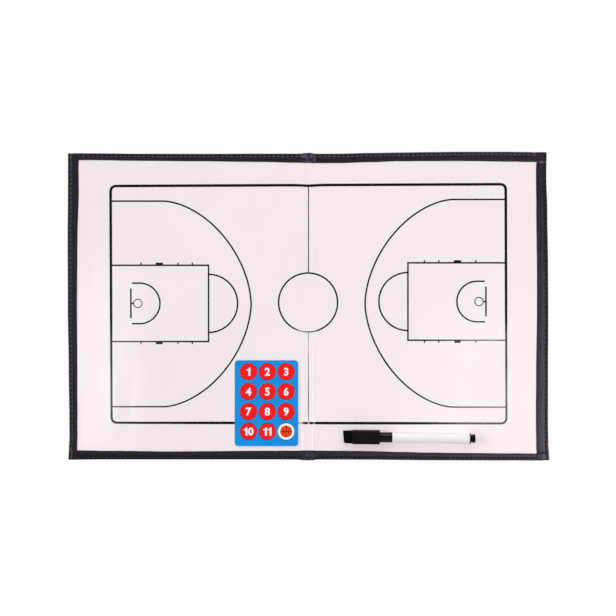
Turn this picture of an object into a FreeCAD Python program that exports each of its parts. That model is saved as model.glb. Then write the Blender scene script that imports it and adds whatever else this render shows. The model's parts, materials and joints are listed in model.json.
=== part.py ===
import FreeCAD, Part
import math
import os
import Sketcher

# Folding tactics board: two stiff leaves joined by a soft spine, with a card of
# magnets and a capped marker pen lying on the writing face.
# Millimetres, +Z up, +X to the right along the open board, the spine along Y.
# The origin is on the underside, at the middle of the spine.

DIMENSIONS = (
    ("board_width", 470.0, "open board, outer side edge to outer side edge"),
    ("board_depth", 299.0, "leaf, front edge to back edge"),
    ("spine_width", 14.0, "soft spine between its two creases"),
    ("spine_overhang", 1.0, "gathered spine past the leaves, at each end"),
    ("cover_thickness", 0.8, "leatherette of the back and of the wrapped edges"),
    ("core_thickness", 2.0, "greyboard inside the leaves and the spine"),
    ("steel_thickness", 0.3, "sheet that the magnets hold on to"),
    ("film_thickness", 0.5, "white writing film"),
    ("hem_thickness", 0.8, "leatherette turned over on to the film"),
    ("side_hem_width", 10.0, "turned hem on the two side edges"),
    ("end_hem_width", 7.8, "turned hem on the front and back edges"),
    ("corner_radius", 1.5, "outer corners of the leaves"),
    ("cover_roll", 0.5, "rounding where the cover turns up round the edge"),
    ("steel_inset", 2.0, "margin from the board's edge to the steel"),
    ("spine_board_margin", 1.5, "margin from a crease to the spine's greyboard"),
    ("fold_clearance", 0.3, "room between two raised hems at a closed crease"),
    ("card_width", 62.15, "magnet card, across"),
    ("card_depth", 84.0, "magnet card, along"),
    ("card_corner", 3.3, "rounded corners of the card"),
    ("card_rubber_thickness", 1.0, "magnetic rubber of the card"),
    ("print_thickness", 0.2, "printed vinyl on the card and on the magnets"),
    ("card_from_crease", 3.05, "left crease to the card's near side"),
    ("card_from_edge", 13.0, "front edge of the leaf to the card"),
    ("card_left_margin", 5.0, "card's left side to the first magnets"),
    ("card_right_margin", 3.25, "card's right side to the last magnets"),
    ("card_front_margin", 5.8, "card's front side to the last row"),
    ("card_back_margin", 2.6, "card's back side to the first row"),
    ("magnet_web", 1.4, "least strip of card left between two magnets"),
    ("magnet_rubber_thickness", 1.3, "magnetic rubber of the round magnets"),
    ("magnet_gap", 0.15, "die-cut gap round each magnet"),
    ("pen_from_crease", 27.4, "right crease to the tip of the pen's eraser"),
    ("pen_from_edge", 22.55, "front edge of the leaf to the pen's axis, at its tip"),
    ("pen_turn", 0.8, "degrees that the pen lies turned towards the front edge"),
    ("pen_rest_gap", 0.3, "clear height under the pen"),
    ("eraser_length", 8.4, "felt block on the cap"),
    ("eraser_width", 13.2, "felt block where it meets the cap"),
    ("eraser_tip_width", 12.4, "felt block at its free end"),
    ("eraser_height", 10.2, "felt block, up"),
    ("eraser_round", 1.0, "rounded long edges of the felt"),
    ("head_length", 26.8, "block of the cap"),
    ("head_width", 13.8, "block of the cap, across"),
    ("head_height", 10.8, "block of the cap, up"),
    ("head_corner", 2.6, "rounded long edges of the block"),
    ("head_end_round", 0.5, "rounded end edges of the block"),
    ("skirt_length", 12.1, "round skirt of the cap"),
    ("skirt_diameter", 10.0, "round skirt of the cap"),
    ("flute_diameter", 0.9, "finger flutes along the skirt"),
    ("flute_count", 16, "number of flutes"),
    ("cap_bore", 7.6, "hollow of the cap"),
    ("cap_floor", 8.6, "solid end of the cap behind the felt"),
    ("cap_fit", 0.15, "gap between the cap and the nose"),
    ("barrel_length", 75.6, "white barrel"),
    ("barrel_diameter", 10.4, "white barrel"),
    ("barrel_bore", 8.0, "hollow of the barrel"),
    ("barrel_end_round", 0.4, "chamfer at the barrel's two ends"),
    ("push_fit", 0.05, "gap round the pieces pushed into the barrel"),
    ("nose_plug_length", 8.0, "nose inside the barrel"),
    ("nose_seat_length", 11.0, "nose inside the cap's skirt"),
    ("nose_cone_length", 9.5, "cone of the nose"),
    ("nose_tip_diameter", 5.2, "small end of the cone"),
    ("nib_diameter", 3.8, "fibre nib"),
    ("nib_reach", 6.0, "nib past the nose"),
    ("nib_round", 1.2, "taper of the nib's tip"),
    ("ink_core_diameter", 7.4, "felt that holds the ink"),
    ("tail_plug_length", 5.0, "tail plug inside the barrel"),
    ("tail_flange_length", 1.0, "flange that closes the barrel"),
    ("tail_flange_diameter", 10.2, "flange that closes the barrel"),
    ("tail_neck_length", 2.3, "groove behind the flange"),
    ("tail_neck_diameter", 7.2, "groove behind the flange"),
    ("tail_rim_length", 2.1, "rim at the very end"),
    ("tail_rim_diameter", 8.2, "rim at the very end"),
)

HALF_WIDTH = "dims.board_width / 2"
HALF_DEPTH = "dims.board_depth / 2"
HALF_SPINE = "dims.spine_width / 2"
SPINE_END = f"({HALF_DEPTH} + dims.spine_overhang)"
INNER_WIDTH = f"({HALF_WIDTH} - dims.cover_thickness)"
INNER_DEPTH = f"({HALF_DEPTH} - dims.cover_thickness)"
SPINE_INNER = f"({SPINE_END} - dims.cover_thickness)"
SIDE_HEM_INNER = f"({HALF_WIDTH} - dims.side_hem_width)"
END_HEM_INNER = f"({HALF_DEPTH} - dims.end_hem_width)"
SPINE_HEM_HALF = f"({HALF_SPINE} - dims.hem_thickness - dims.fold_clearance)"

CORE_LEVEL = "dims.cover_thickness"
STEEL_LEVEL = f"({CORE_LEVEL} + dims.core_thickness)"
FILM_LEVEL = f"({STEEL_LEVEL} + dims.steel_thickness)"
FACE_LEVEL = f"({FILM_LEVEL} + dims.film_thickness)"

CARD_LEFT = f"(-{HALF_SPINE} - dims.card_from_crease - dims.card_width)"
CARD_FRONT = f"(-{HALF_DEPTH} + dims.card_from_edge)"
MAGNET_COLUMNS = 3
MAGNET_ROWS = 4
# The magnets are as large as the card's columns and rows let them be.
ROW_LENGTH = "(dims.card_width - dims.card_left_margin - dims.card_right_margin)"
COLUMN_LENGTH = "(dims.card_depth - dims.card_front_margin - dims.card_back_margin)"
MAGNET_DIAMETER = (f"min(({ROW_LENGTH} - {MAGNET_COLUMNS - 1} * dims.magnet_web) / {MAGNET_COLUMNS};"
                   f" ({COLUMN_LENGTH} - {MAGNET_ROWS - 1} * dims.magnet_web) / {MAGNET_ROWS})")
PITCH_ACROSS = f"(({ROW_LENGTH} - {MAGNET_DIAMETER}) / {MAGNET_COLUMNS - 1})"
PITCH_ALONG = f"(({COLUMN_LENGTH} - {MAGNET_DIAMETER}) / {MAGNET_ROWS - 1})"

PEN_TIP_X = f"({HALF_SPINE} + dims.pen_from_crease)"
PEN_TIP_Y = f"(-{HALF_DEPTH} + dims.pen_from_edge)"
PEN_AXIS_LEVEL = f"({FACE_LEVEL} + dims.pen_rest_gap + dims.head_height / 2)"

# Places along the pen, measured from the free end of the eraser.
CAP_START = "dims.eraser_length"
SKIRT_START = f"({CAP_START} + dims.head_length)"
BARREL_START = f"({SKIRT_START} + dims.skirt_length)"
BARREL_END = f"({BARREL_START} + dims.barrel_length)"
CAP_HOLLOW_START = f"({CAP_START} + dims.cap_floor)"
NOSE_BACK = f"({BARREL_START} + dims.nose_plug_length)"
NOSE_SHOULDER = f"({BARREL_START} - dims.nose_seat_length)"
NOSE_FRONT = f"({NOSE_SHOULDER} - dims.nose_cone_length)"
NIB_TIP = f"({NOSE_FRONT} - dims.nib_reach)"
TAIL_PLUG_FRONT = f"({BARREL_END} - dims.tail_plug_length)"
TAIL_NECK_START = f"({BARREL_END} + dims.tail_flange_length)"
TAIL_RIM_START = f"({TAIL_NECK_START} + dims.tail_neck_length)"
TAIL_END = f"({TAIL_RIM_START} + dims.tail_rim_length)"
PLUG_RADIUS = "(dims.barrel_bore / 2 - dims.push_fit)"
NOSE_SEAT_RADIUS = "(dims.cap_bore / 2 - dims.cap_fit)"
NIB_HOLE_RADIUS = "(dims.nib_diameter / 2 + dims.push_fit)"

SIDES = (("left", -1), ("right", 1))
ENDS = (("front", -1), ("back", 1))
NEAR = 0.001

doc = FreeCAD.newDocument("tactics_board")
pieces = []


def write_dimensions():
    """The sheet of driving sizes: a name, a plain number and what it measures."""
    dims = doc.addObject("Spreadsheet::Sheet", "dims")
    for row, (alias, value, meaning) in enumerate(DIMENSIONS, start=1):
        dims.set(f"A{row}", alias)
        dims.set(f"B{row}", str(value))
        dims.set(f"C{row}", meaning)
        dims.setAlias(f"B{row}", alias)
    doc.recompute()


def keep(piece, label):
    """Name a finished piece and add it to the list of pieces."""
    piece.Label = label
    pieces.append(piece)
    return piece


def place(piece, x, y, z):
    """Tie a piece's own origin to its place on the board."""
    for axis, formula in (("x", x), ("y", y), ("z", z)):
        piece.setExpression(f"Placement.Base.{axis}", formula)


def flat_box(label, x, y, z, length, width, height):
    """A flat rectangular sheet, from its low corner."""
    box = doc.addObject("Part::Box", label)
    box.setExpression("Length", length)
    box.setExpression("Width", width)
    box.setExpression("Height", height)
    place(box, x, y, z)
    return keep(box, label)


def leaf_span(side, near, far):
    """Low x and length of a piece from near to far out from the middle of the spine."""
    low = near if side > 0 else f"-({far})"
    return low, f"({far}) - ({near})"


def new_body(label):
    """An empty body with its label."""
    return keep(doc.addObject("PartDesign::Body", label), label)


def new_sketch(body, name, role, lift="0"):
    """A sketch on one of the body's own origin planes, lifted along its normal."""
    plane = next(item for item in body.Origin.OriginFeatures if item.Role == role)
    sketch = body.newObject("Sketcher::SketchObject", name)
    sketch.AttachmentSupport = [(plane, "")]
    sketch.MapMode = "FlatFace"
    sketch.setExpression("AttachmentOffset.Base.z", lift)
    return sketch


def tie_point(sketch, geometry, position, start, formulas):
    """Hold one point of a sketch at its two distances from the sketch's origin."""
    for kind, value, formula in zip(("DistanceX", "DistanceY"), (start.x, start.y), formulas):
        rule = Sketcher.Constraint(kind, -1, 1, geometry, position, value)
        number = sketch.addConstraint(rule)
        sketch.setExpression(f"Constraints[{number}]", formula)


def draw_outline(sketch, corners):
    """Closed straight-sided outline through corners given as pairs of formulas."""
    count = len(corners)
    turn = 2 * math.pi / count
    starts = [FreeCAD.Vector(math.cos(turn * i), math.sin(turn * i), 0) for i in range(count)]
    for i in range(count):
        sketch.addGeometry(Part.LineSegment(starts[i], starts[(i + 1) % count]), False)
    for i in range(count):
        sketch.addConstraint(Sketcher.Constraint("Coincident", i, 2, (i + 1) % count, 1))
    for i, formulas in enumerate(corners):
        tie_point(sketch, i, 1, starts[i], formulas)


def draw_rectangle(sketch, low_x, high_x, low_y, high_y):
    """Rectangle between two pairs of formulas."""
    draw_outline(sketch, ((low_x, low_y), (high_x, low_y), (high_x, high_y), (low_x, high_y)))


def draw_circle(sketch, centre_x, centre_y, diameter):
    """Circle tied to its centre and its diameter."""
    start = FreeCAD.Vector(1, 1, 0)
    circle = sketch.addGeometry(Part.Circle(start, FreeCAD.Vector(0, 0, 1), 1.0), False)
    tie_point(sketch, circle, 3, start, (centre_x, centre_y))
    number = sketch.addConstraint(Sketcher.Constraint("Diameter", circle, 2.0))
    sketch.setExpression(f"Constraints[{number}]", diameter)


def pad(body, sketch, length):
    """Raise a sketch into a solid."""
    feature = body.newObject("PartDesign::Pad", f"{sketch.Name}_pad")
    feature.Profile = sketch
    feature.setExpression("Length", length)
    doc.recompute()
    return feature


def pocket(body, sketch, depth, base, along_normal=False):
    """Cut a sketch out of the solid, and make sure that something was cut."""
    feature = body.newObject("PartDesign::Pocket", f"{sketch.Name}_pocket")
    feature.Profile = sketch
    feature.Reversed = along_normal
    feature.setExpression("Length", depth)
    doc.recompute()
    if feature.Shape.Volume >= base.Shape.Volume - NEAR:
        raise RuntimeError(f"{feature.Name} cuts nothing")
    return feature


def edges_where(feature, test):
    """Names of the edges whose two end points both pass a test."""
    names = []
    for number, edge in enumerate(feature.Shape.Edges, start=1):
        ends = [vertex.Point for vertex in edge.Vertexes]
        if len(ends) == 2 and test(ends[0], ends[1]):
            names.append(f"Edge{number}")
    return names


def fillet(body, feature, test, radius, name):
    """Round the edges that pass a test."""
    rounded = body.newObject("PartDesign::Fillet", name)
    rounded.Base = (feature, edges_where(feature, test))
    rounded.setExpression("Radius", radius)
    doc.recompute()
    return rounded


def upright(a, b):
    """True for an edge that runs straight up."""
    return abs(a.x - b.x) < NEAR and abs(a.y - b.y) < NEAR


def along_x(a, b):
    """True for an edge that runs straight along X."""
    return abs(a.y - b.y) < NEAR and abs(a.z - b.z) < NEAR


def turned(label, profile):
    """A piece turned round the pen's axis, from pairs of place and radius."""
    body = new_body(label)
    sketch = new_sketch(body, f"{label}_profile", "XZ_Plane")
    draw_outline(sketch, profile)
    feature = body.newObject("PartDesign::Revolution", f"{label}_turn")
    feature.Profile = sketch
    feature.ReferenceAxis = (sketch, ["H_Axis"])
    feature.Angle = 360
    doc.recompute()
    return body


def lay_on_pen(body):
    """Put a pen piece where the pen lies on the right leaf."""
    body.Placement.Rotation = FreeCAD.Rotation(FreeCAD.Vector(0, 0, 1), -1)
    body.setExpression("Placement.Rotation.Angle", "-dims.pen_turn")
    place(body, PEN_TIP_X, PEN_TIP_Y, PEN_AXIS_LEVEL)


def leaf_cover(name, side):
    """Leatherette back of a leaf, turned up round its three free edges."""
    body = new_body(f"{name}_cover")
    outline = new_sketch(body, f"{name}_cover_outline", "XY_Plane")
    draw_rectangle(outline, f"{side} * {HALF_SPINE}", f"{side} * {HALF_WIDTH}",
                   f"-{HALF_DEPTH}", HALF_DEPTH)
    block = pad(body, outline, FACE_LEVEL)
    tray = new_sketch(body, f"{name}_cover_tray", "XY_Plane", FACE_LEVEL)
    draw_rectangle(tray, f"{side} * {HALF_SPINE}", f"{side} * {INNER_WIDTH}",
                   f"-{INNER_DEPTH}", INNER_DEPTH)
    hollow = pocket(body, tray, f"{FACE_LEVEL} - dims.cover_thickness", block)
    outer_x = max(side * vertex.Point.x for vertex in hollow.Shape.Vertexes)
    crease_x = min(side * vertex.Point.x for vertex in hollow.Shape.Vertexes)

    def outer_corner(a, b):
        return upright(a, b) and side * a.x > outer_x - NEAR

    def bottom_edge(a, b):
        at_crease = side * a.x < crease_x + NEAR and side * b.x < crease_x + NEAR
        return max(a.z, b.z) < NEAR and not at_crease

    corners = fillet(body, hollow, outer_corner, "dims.corner_radius", f"{name}_cover_corners")
    fillet(body, corners, bottom_edge, "dims.cover_roll", f"{name}_cover_rolled_edge")


def side_hem(name, side):
    """Hem turned over the side edge, rounded at the board's two corners."""
    body = new_body(f"{name}_side_hem")
    outline = new_sketch(body, f"{name}_side_hem_outline", "XY_Plane", FACE_LEVEL)
    draw_rectangle(outline, f"{side} * {SIDE_HEM_INNER}", f"{side} * {HALF_WIDTH}",
                   f"-{HALF_DEPTH}", HALF_DEPTH)
    strip = pad(body, outline, "dims.hem_thickness")
    outer_x = max(side * vertex.Point.x for vertex in strip.Shape.Vertexes)

    def outer_corner(a, b):
        return upright(a, b) and side * a.x > outer_x - NEAR

    fillet(body, strip, outer_corner, "dims.corner_radius", f"{name}_side_hem_corners")


def leaf(name, side):
    """One stiff leaf: cover, greyboard, steel sheet, film and its hems."""
    leaf_cover(name, side)
    low, length = leaf_span(side, HALF_SPINE, INNER_WIDTH)
    flat_box(f"{name}_core_board", low, f"-{INNER_DEPTH}", CORE_LEVEL,
             length, f"2 * {INNER_DEPTH}", "dims.core_thickness")
    low, length = leaf_span(side, f"{HALF_SPINE} + dims.steel_inset",
                            f"{INNER_WIDTH} - dims.steel_inset")
    flat_box(f"{name}_steel_sheet", low, f"-({INNER_DEPTH} - dims.steel_inset)", STEEL_LEVEL,
             length, f"2 * ({INNER_DEPTH} - dims.steel_inset)", "dims.steel_thickness")
    low, length = leaf_span(side, HALF_SPINE, INNER_WIDTH)
    flat_box(f"{name}_film", low, f"-{INNER_DEPTH}", FILM_LEVEL,
             length, f"2 * {INNER_DEPTH}", "dims.film_thickness")
    side_hem(name, side)
    low, length = leaf_span(side, HALF_SPINE, SIDE_HEM_INNER)
    for end_name, end in ENDS:
        front = END_HEM_INNER if end > 0 else f"-{HALF_DEPTH}"
        flat_box(f"{name}_{end_name}_hem", low, front, FACE_LEVEL,
                 length, "dims.end_hem_width", "dims.hem_thickness")


def spine():
    """Soft spine: cover wrapped round its two ends, stiffener, film and short hems."""
    body = new_body("spine_cover")
    outline = new_sketch(body, "spine_cover_outline", "XY_Plane")
    draw_rectangle(outline, f"-{HALF_SPINE}", HALF_SPINE, f"-{SPINE_END}", SPINE_END)
    block = pad(body, outline, FACE_LEVEL)
    channel = new_sketch(body, "spine_cover_channel", "XY_Plane", FACE_LEVEL)
    draw_rectangle(channel, f"-{HALF_SPINE}", HALF_SPINE, f"-{SPINE_INNER}", SPINE_INNER)
    pocket(body, channel, f"{FACE_LEVEL} - dims.cover_thickness", block)
    flat_box("spine_board", f"-({HALF_SPINE} - dims.spine_board_margin)", f"-{INNER_DEPTH}",
             CORE_LEVEL, f"2 * ({HALF_SPINE} - dims.spine_board_margin)",
             f"2 * {INNER_DEPTH}", "dims.core_thickness")
    flat_box("spine_film", f"-{HALF_SPINE}", f"-{SPINE_INNER}", FILM_LEVEL,
             "dims.spine_width", f"2 * {SPINE_INNER}", "dims.film_thickness")
    for end_name, end in ENDS:
        front = END_HEM_INNER if end > 0 else f"-{SPINE_END}"
        flat_box(f"spine_{end_name}_hem", f"-{SPINE_HEM_HALF}", front, FACE_LEVEL,
                 f"2 * {SPINE_HEM_HALF}", "dims.end_hem_width + dims.spine_overhang",
                 "dims.hem_thickness")


def magnet_centre(column, row):
    """Centre of one magnet on the card, from the card's front left corner."""
    rows_in_front = MAGNET_ROWS - 1 - row
    return (f"(dims.card_left_margin + {MAGNET_DIAMETER} / 2 + {column} * {PITCH_ACROSS})",
            f"(dims.card_front_margin + {MAGNET_DIAMETER} / 2 + {rows_in_front} * {PITCH_ALONG})")


def magnet_places():
    """Column and row of every magnet, in reading order."""
    return [(column, row) for row in range(MAGNET_ROWS) for column in range(MAGNET_COLUMNS)]


def card_layer(label, level, thickness):
    """One layer of the card: rounded corners and a die-cut hole for each magnet."""
    body = new_body(label)
    outline = new_sketch(body, f"{label}_outline", "XY_Plane")
    draw_rectangle(outline, "0", "dims.card_width", "0", "dims.card_depth")
    block = pad(body, outline, thickness)
    holes = new_sketch(body, f"{label}_holes", "XY_Plane", thickness)
    for column, row in magnet_places():
        across, along = magnet_centre(column, row)
        draw_circle(holes, across, along, f"{MAGNET_DIAMETER} + 2 * dims.magnet_gap")
    cut = pocket(body, holes, thickness, block)
    reach = max(vertex.Point.x for vertex in block.Shape.Vertexes)

    def card_corner(a, b):
        return upright(a, b) and (a.x < NEAR or a.x > reach - NEAR)

    fillet(body, cut, card_corner, "dims.card_corner", f"{label}_corners")
    place(body, CARD_LEFT, CARD_FRONT, level)


def magnets():
    """Eleven numbered magnets and the one with the ball, each a rubber disc with a vinyl face."""
    names = [f"magnet_{number}" for number in range(1, MAGNET_COLUMNS * MAGNET_ROWS)]
    names.append("magnet_ball")
    face_level = f"({FACE_LEVEL} + dims.magnet_rubber_thickness)"
    for name, (column, row) in zip(names, magnet_places()):
        across, along = magnet_centre(column, row)
        for label, level, thickness in (
            (f"{name}_rubber", FACE_LEVEL, "dims.magnet_rubber_thickness"),
            (f"{name}_face", face_level, "dims.print_thickness"),
        ):
            disc = doc.addObject("Part::Cylinder", label)
            disc.setExpression("Radius", f"{MAGNET_DIAMETER} / 2")
            disc.setExpression("Height", thickness)
            place(disc, f"{CARD_LEFT} + {across}", f"{CARD_FRONT} + {along}", level)
            keep(disc, label)


def pen_cap():
    """Cap: a broad block and a fluted round skirt, hollow for the pen's nose."""
    body = new_body("pen_cap")
    block_face = new_sketch(body, "cap_block", "YZ_Plane", CAP_START)
    draw_rectangle(block_face, "-dims.head_width / 2", "dims.head_width / 2",
                   "-dims.head_height / 2", "dims.head_height / 2")
    block = pad(body, block_face, "dims.head_length")
    long_round = fillet(body, block, along_x, "dims.head_corner", "cap_long_edges")
    skirt_end = max(vertex.Point.x for vertex in long_round.Shape.Vertexes)

    def skirt_side(a, b):
        return min(a.x, b.x) > skirt_end - NEAR

    end_round = fillet(body, long_round, skirt_side, "dims.head_end_round", "cap_end_edges")
    skirt_face = new_sketch(body, "cap_skirt", "YZ_Plane", SKIRT_START)
    draw_circle(skirt_face, "0", "0", "dims.skirt_diameter")
    skirt = pad(body, skirt_face, "dims.skirt_length")
    if skirt.Shape.Volume <= end_round.Shape.Volume:
        raise RuntimeError("the cap's skirt adds nothing")
    hollow_face = new_sketch(body, "cap_hollow", "YZ_Plane", BARREL_START)
    draw_circle(hollow_face, "0", "0", "dims.cap_bore")
    hollow = pocket(body, hollow_face, f"{BARREL_START} - {CAP_HOLLOW_START}", skirt)
    flute_face = new_sketch(body, "cap_flute", "YZ_Plane", BARREL_START)
    draw_circle(flute_face, "0", "dims.skirt_diameter / 2", "dims.flute_diameter")
    flute = pocket(body, flute_face, "dims.skirt_length", hollow)
    flutes = body.newObject("PartDesign::PolarPattern", "cap_flutes")
    flutes.Originals = [flute]
    flutes.Axis = (next(i for i in body.Origin.OriginFeatures if i.Role == "X_Axis"), [""])
    flutes.Angle = 360
    flutes.setExpression("Occurrences", "dims.flute_count")
    body.Tip = flutes
    lay_on_pen(body)


def pen_eraser():
    """Felt block glued to the end of the cap, a little narrower at its free end."""
    body = new_body("pen_eraser")
    outline = new_sketch(body, "eraser_outline", "XY_Plane", "-dims.eraser_height / 2")
    draw_outline(outline, (
        ("0", "-dims.eraser_tip_width / 2"),
        (CAP_START, "-dims.eraser_width / 2"),
        (CAP_START, "dims.eraser_width / 2"),
        ("0", "dims.eraser_tip_width / 2"),
    ))
    block = pad(body, outline, "dims.eraser_height")

    def long_edge(a, b):
        return abs(a.x - b.x) > NEAR

    fillet(body, block, long_edge, "dims.eraser_round", "eraser_long_edges")
    lay_on_pen(body)


def pen_barrel():
    """White barrel, open at both ends."""
    bore = "dims.barrel_bore / 2"
    outside = "dims.barrel_diameter / 2"
    eased = f"{outside} - dims.barrel_end_round"
    lay_on_pen(turned("pen_barrel", (
        (BARREL_START, bore),
        (BARREL_END, bore),
        (BARREL_END, eased),
        (f"{BARREL_END} - dims.barrel_end_round", outside),
        (f"{BARREL_START} + dims.barrel_end_round", outside),
        (BARREL_START, eased),
    )))


def pen_nose():
    """Nose: a plug in the barrel, a seat for the cap and a cone round the nib."""
    lay_on_pen(turned("pen_nose", (
        (NOSE_FRONT, NIB_HOLE_RADIUS),
        (NOSE_BACK, NIB_HOLE_RADIUS),
        (NOSE_BACK, PLUG_RADIUS),
        (BARREL_START, PLUG_RADIUS),
        (BARREL_START, NOSE_SEAT_RADIUS),
        (NOSE_SHOULDER, NOSE_SEAT_RADIUS),
        (NOSE_FRONT, "dims.nose_tip_diameter / 2"),
    )))


def pen_nib():
    """Fibre nib through the nose, touching the ink core behind it."""
    radius = "dims.nib_diameter / 2"
    lay_on_pen(turned("pen_nib", (
        (NIB_TIP, "0"),
        (NOSE_BACK, "0"),
        (NOSE_BACK, radius),
        (f"{NIB_TIP} + dims.nib_round", radius),
        (NIB_TIP, f"{radius} - dims.nib_round"),
    )))


def pen_ink_core():
    """Ink felt between the nose and the tail plug."""
    radius = "dims.ink_core_diameter / 2"
    lay_on_pen(turned("pen_ink_core", (
        (NOSE_BACK, "0"),
        (TAIL_PLUG_FRONT, "0"),
        (TAIL_PLUG_FRONT, radius),
        (NOSE_BACK, radius),
    )))


def pen_tail_plug():
    """Tail plug: pushed into the barrel, with a flange, a groove and a rim behind it."""
    lay_on_pen(turned("pen_tail_plug", (
        (TAIL_PLUG_FRONT, "0"),
        (TAIL_END, "0"),
        (TAIL_END, "dims.tail_rim_diameter / 2"),
        (TAIL_RIM_START, "dims.tail_rim_diameter / 2"),
        (TAIL_RIM_START, "dims.tail_neck_diameter / 2"),
        (TAIL_NECK_START, "dims.tail_neck_diameter / 2"),
        (TAIL_NECK_START, "dims.tail_flange_diameter / 2"),
        (BARREL_END, "dims.tail_flange_diameter / 2"),
        (BARREL_END, PLUG_RADIUS),
        (TAIL_PLUG_FRONT, PLUG_RADIUS),
    )))


def check_model():
    """Stop if any object failed or any piece has no sound solid."""
    for item in doc.Objects:
        if "Invalid" in item.State or "Error" in item.State:
            raise RuntimeError(f"{item.Label} failed: {item.State}")
    for piece in pieces:
        shape = piece.Shape
        if shape.isNull() or not shape.isValid() or len(shape.Solids) != 1:
            raise RuntimeError(f"{piece.Label} has no single sound solid")


def write_pieces():
    """Write every piece to its own file."""
    os.makedirs("parts", exist_ok=True)
    for piece in pieces:
        piece.Shape.exportStep(f"parts/{piece.Label}.step")
        print(f"{piece.Label}: {piece.Shape.Volume:.1f} cubic mm")


write_dimensions()
for side_name, side_sign in SIDES:
    leaf(side_name, side_sign)
spine()
card_layer("card_rubber", FACE_LEVEL, "dims.card_rubber_thickness")
card_layer("card_print", f"{FACE_LEVEL} + dims.card_rubber_thickness", "dims.print_thickness")
magnets()
pen_eraser()
pen_cap()
pen_barrel()
pen_nose()
pen_nib()
pen_ink_core()
pen_tail_plug()
doc.recompute()
check_model()
write_pieces()
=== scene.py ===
"""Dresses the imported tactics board: covers, stitching, film, court print, magnets and marker pen."""

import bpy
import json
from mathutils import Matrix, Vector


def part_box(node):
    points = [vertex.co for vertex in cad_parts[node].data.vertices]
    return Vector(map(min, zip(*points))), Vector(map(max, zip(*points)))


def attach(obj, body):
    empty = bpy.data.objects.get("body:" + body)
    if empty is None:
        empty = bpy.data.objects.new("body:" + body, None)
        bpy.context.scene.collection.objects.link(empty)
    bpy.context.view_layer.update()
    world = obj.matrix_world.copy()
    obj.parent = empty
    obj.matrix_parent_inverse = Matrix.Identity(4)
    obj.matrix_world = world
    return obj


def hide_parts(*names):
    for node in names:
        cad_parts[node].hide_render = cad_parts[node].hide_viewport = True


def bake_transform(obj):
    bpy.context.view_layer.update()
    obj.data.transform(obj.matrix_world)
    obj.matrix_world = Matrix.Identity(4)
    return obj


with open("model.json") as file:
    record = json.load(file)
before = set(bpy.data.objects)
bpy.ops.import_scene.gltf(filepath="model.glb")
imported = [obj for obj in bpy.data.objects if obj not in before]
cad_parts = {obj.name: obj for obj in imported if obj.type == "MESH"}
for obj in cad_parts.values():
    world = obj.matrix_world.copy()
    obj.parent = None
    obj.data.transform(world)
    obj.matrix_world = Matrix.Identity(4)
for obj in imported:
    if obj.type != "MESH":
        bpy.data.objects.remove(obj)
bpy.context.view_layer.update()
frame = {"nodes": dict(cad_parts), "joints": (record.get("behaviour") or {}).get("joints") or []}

import json
import math

import bmesh
import bpy
from bpy.props import FloatProperty, FloatVectorProperty, PointerProperty
from bpy.types import NodeSocket, Operator, Panel, PropertyGroup
from mathutils import Vector, noise

bl_info = {
    "name": "Tactics board",
    "version": (1, 0, 0),
    "blender": (4, 5, 0),
    "location": "View3D > Sidebar > Tactics board",
    "description": "Covers, stitching, court print, magnets and pen for a folding tactics board",
    "category": "Object",
}

MM = 0.001


def box_mm(node):
    """Lowest and highest corner of a CAD node, in millimetres."""
    low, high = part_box(node)
    return [value / MM for value in low], [value / MM for value in high]


FACE = box_mm("left_film")[1][2]
BACK_SHEET = box_mm("left_core_board")[0][2]
HEM_THICKNESS = box_mm("left_side_hem")[1][2] - FACE
HALF_SPINE = -box_mm("left_cover")[1][0]
LEAF_NAMES = {-1: "left", 1: "right"}
MAGNET_NAMES = [f"magnet_{number}" for number in range(1, 12)] + ["magnet_ball"]

# The turned border isn't quite even. Rows are (place along the edge, outer edge, width of the hem), in mm.
SIDE_HEMS = {
    -1: (
        (-150, 235.1, 8.4), (-140, 234.6, 7.8), (-126, 234.1, 7.6), (-111, 234.2, 7.7), (-62, 234.8, 8.2),
        (0, 235.7, 8.8), (65, 235.9, 9.4), (114, 235.6, 10.4), (135, 235.6, 10.2), (150, 235.5, 10.6),
    ),
    1: (
        (-150, 235.9, 12.3), (-143, 235.5, 11.9), (-136, 235.0, 11.7), (-111, 234.7, 11.7),
        (-62, 234.8, 11.5), (0, 235.0, 10.9), (35, 234.8, 10.8), (94, 234.0, 10.6), (128, 233.0, 9.9),
        (150, 233.2, 9.6),
    ),
}
END_HEMS = {
    1: (
        (-232, 150.4, 6.7), (-213, 150.2, 6.4), (-164, 149.8, 6.7), (-105, 149.7, 7.0), (-47, 149.9, 7.9),
        (-12, 149.9, 8.7), (-7, 150.0, 8.9), (-4, 150.5, 9.5), (2, 150.7, 9.7), (5, 150.1, 9.3),
        (8, 149.8, 8.9), (31, 149.9, 9.0), (61, 150.6, 8.8), (90, 151.0, 8.3), (120, 151.4, 8.6),
        (149, 151.7, 8.8), (198, 151.7, 9.4), (213, 151.5, 9.5), (232, 151.0, 9.2),
    ),
    -1: (
        (-232, 149.6, 8.9), (-194, 149.4, 8.2), (-135, 149.4, 7.6), (-105, 149.4, 7.8), (-47, 149.4, 8.3),
        (-10, 149.5, 8.4), (-7, 150.0, 9.1), (-4, 150.2, 9.4), (0, 150.3, 9.5), (4, 150.2, 9.3),
        (8, 149.5, 8.5), (31, 149.5, 8.3), (61, 149.6, 8.1), (90, 149.9, 7.6), (120, 150.2, 7.3),
        (149, 150.3, 7.0), (198, 150.4, 6.7), (232, 150.5, 6.6),
    ),
}
CORNER_ENDS = {(-1, 1): 150.6, (-1, -1): 150.1, (1, 1): 151.8, (1, -1): 150.6}
# Where the border is read at a corner, along an end hem and along a side hem
CORNER_X = 225.0
CORNER_Y = 149.0


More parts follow.
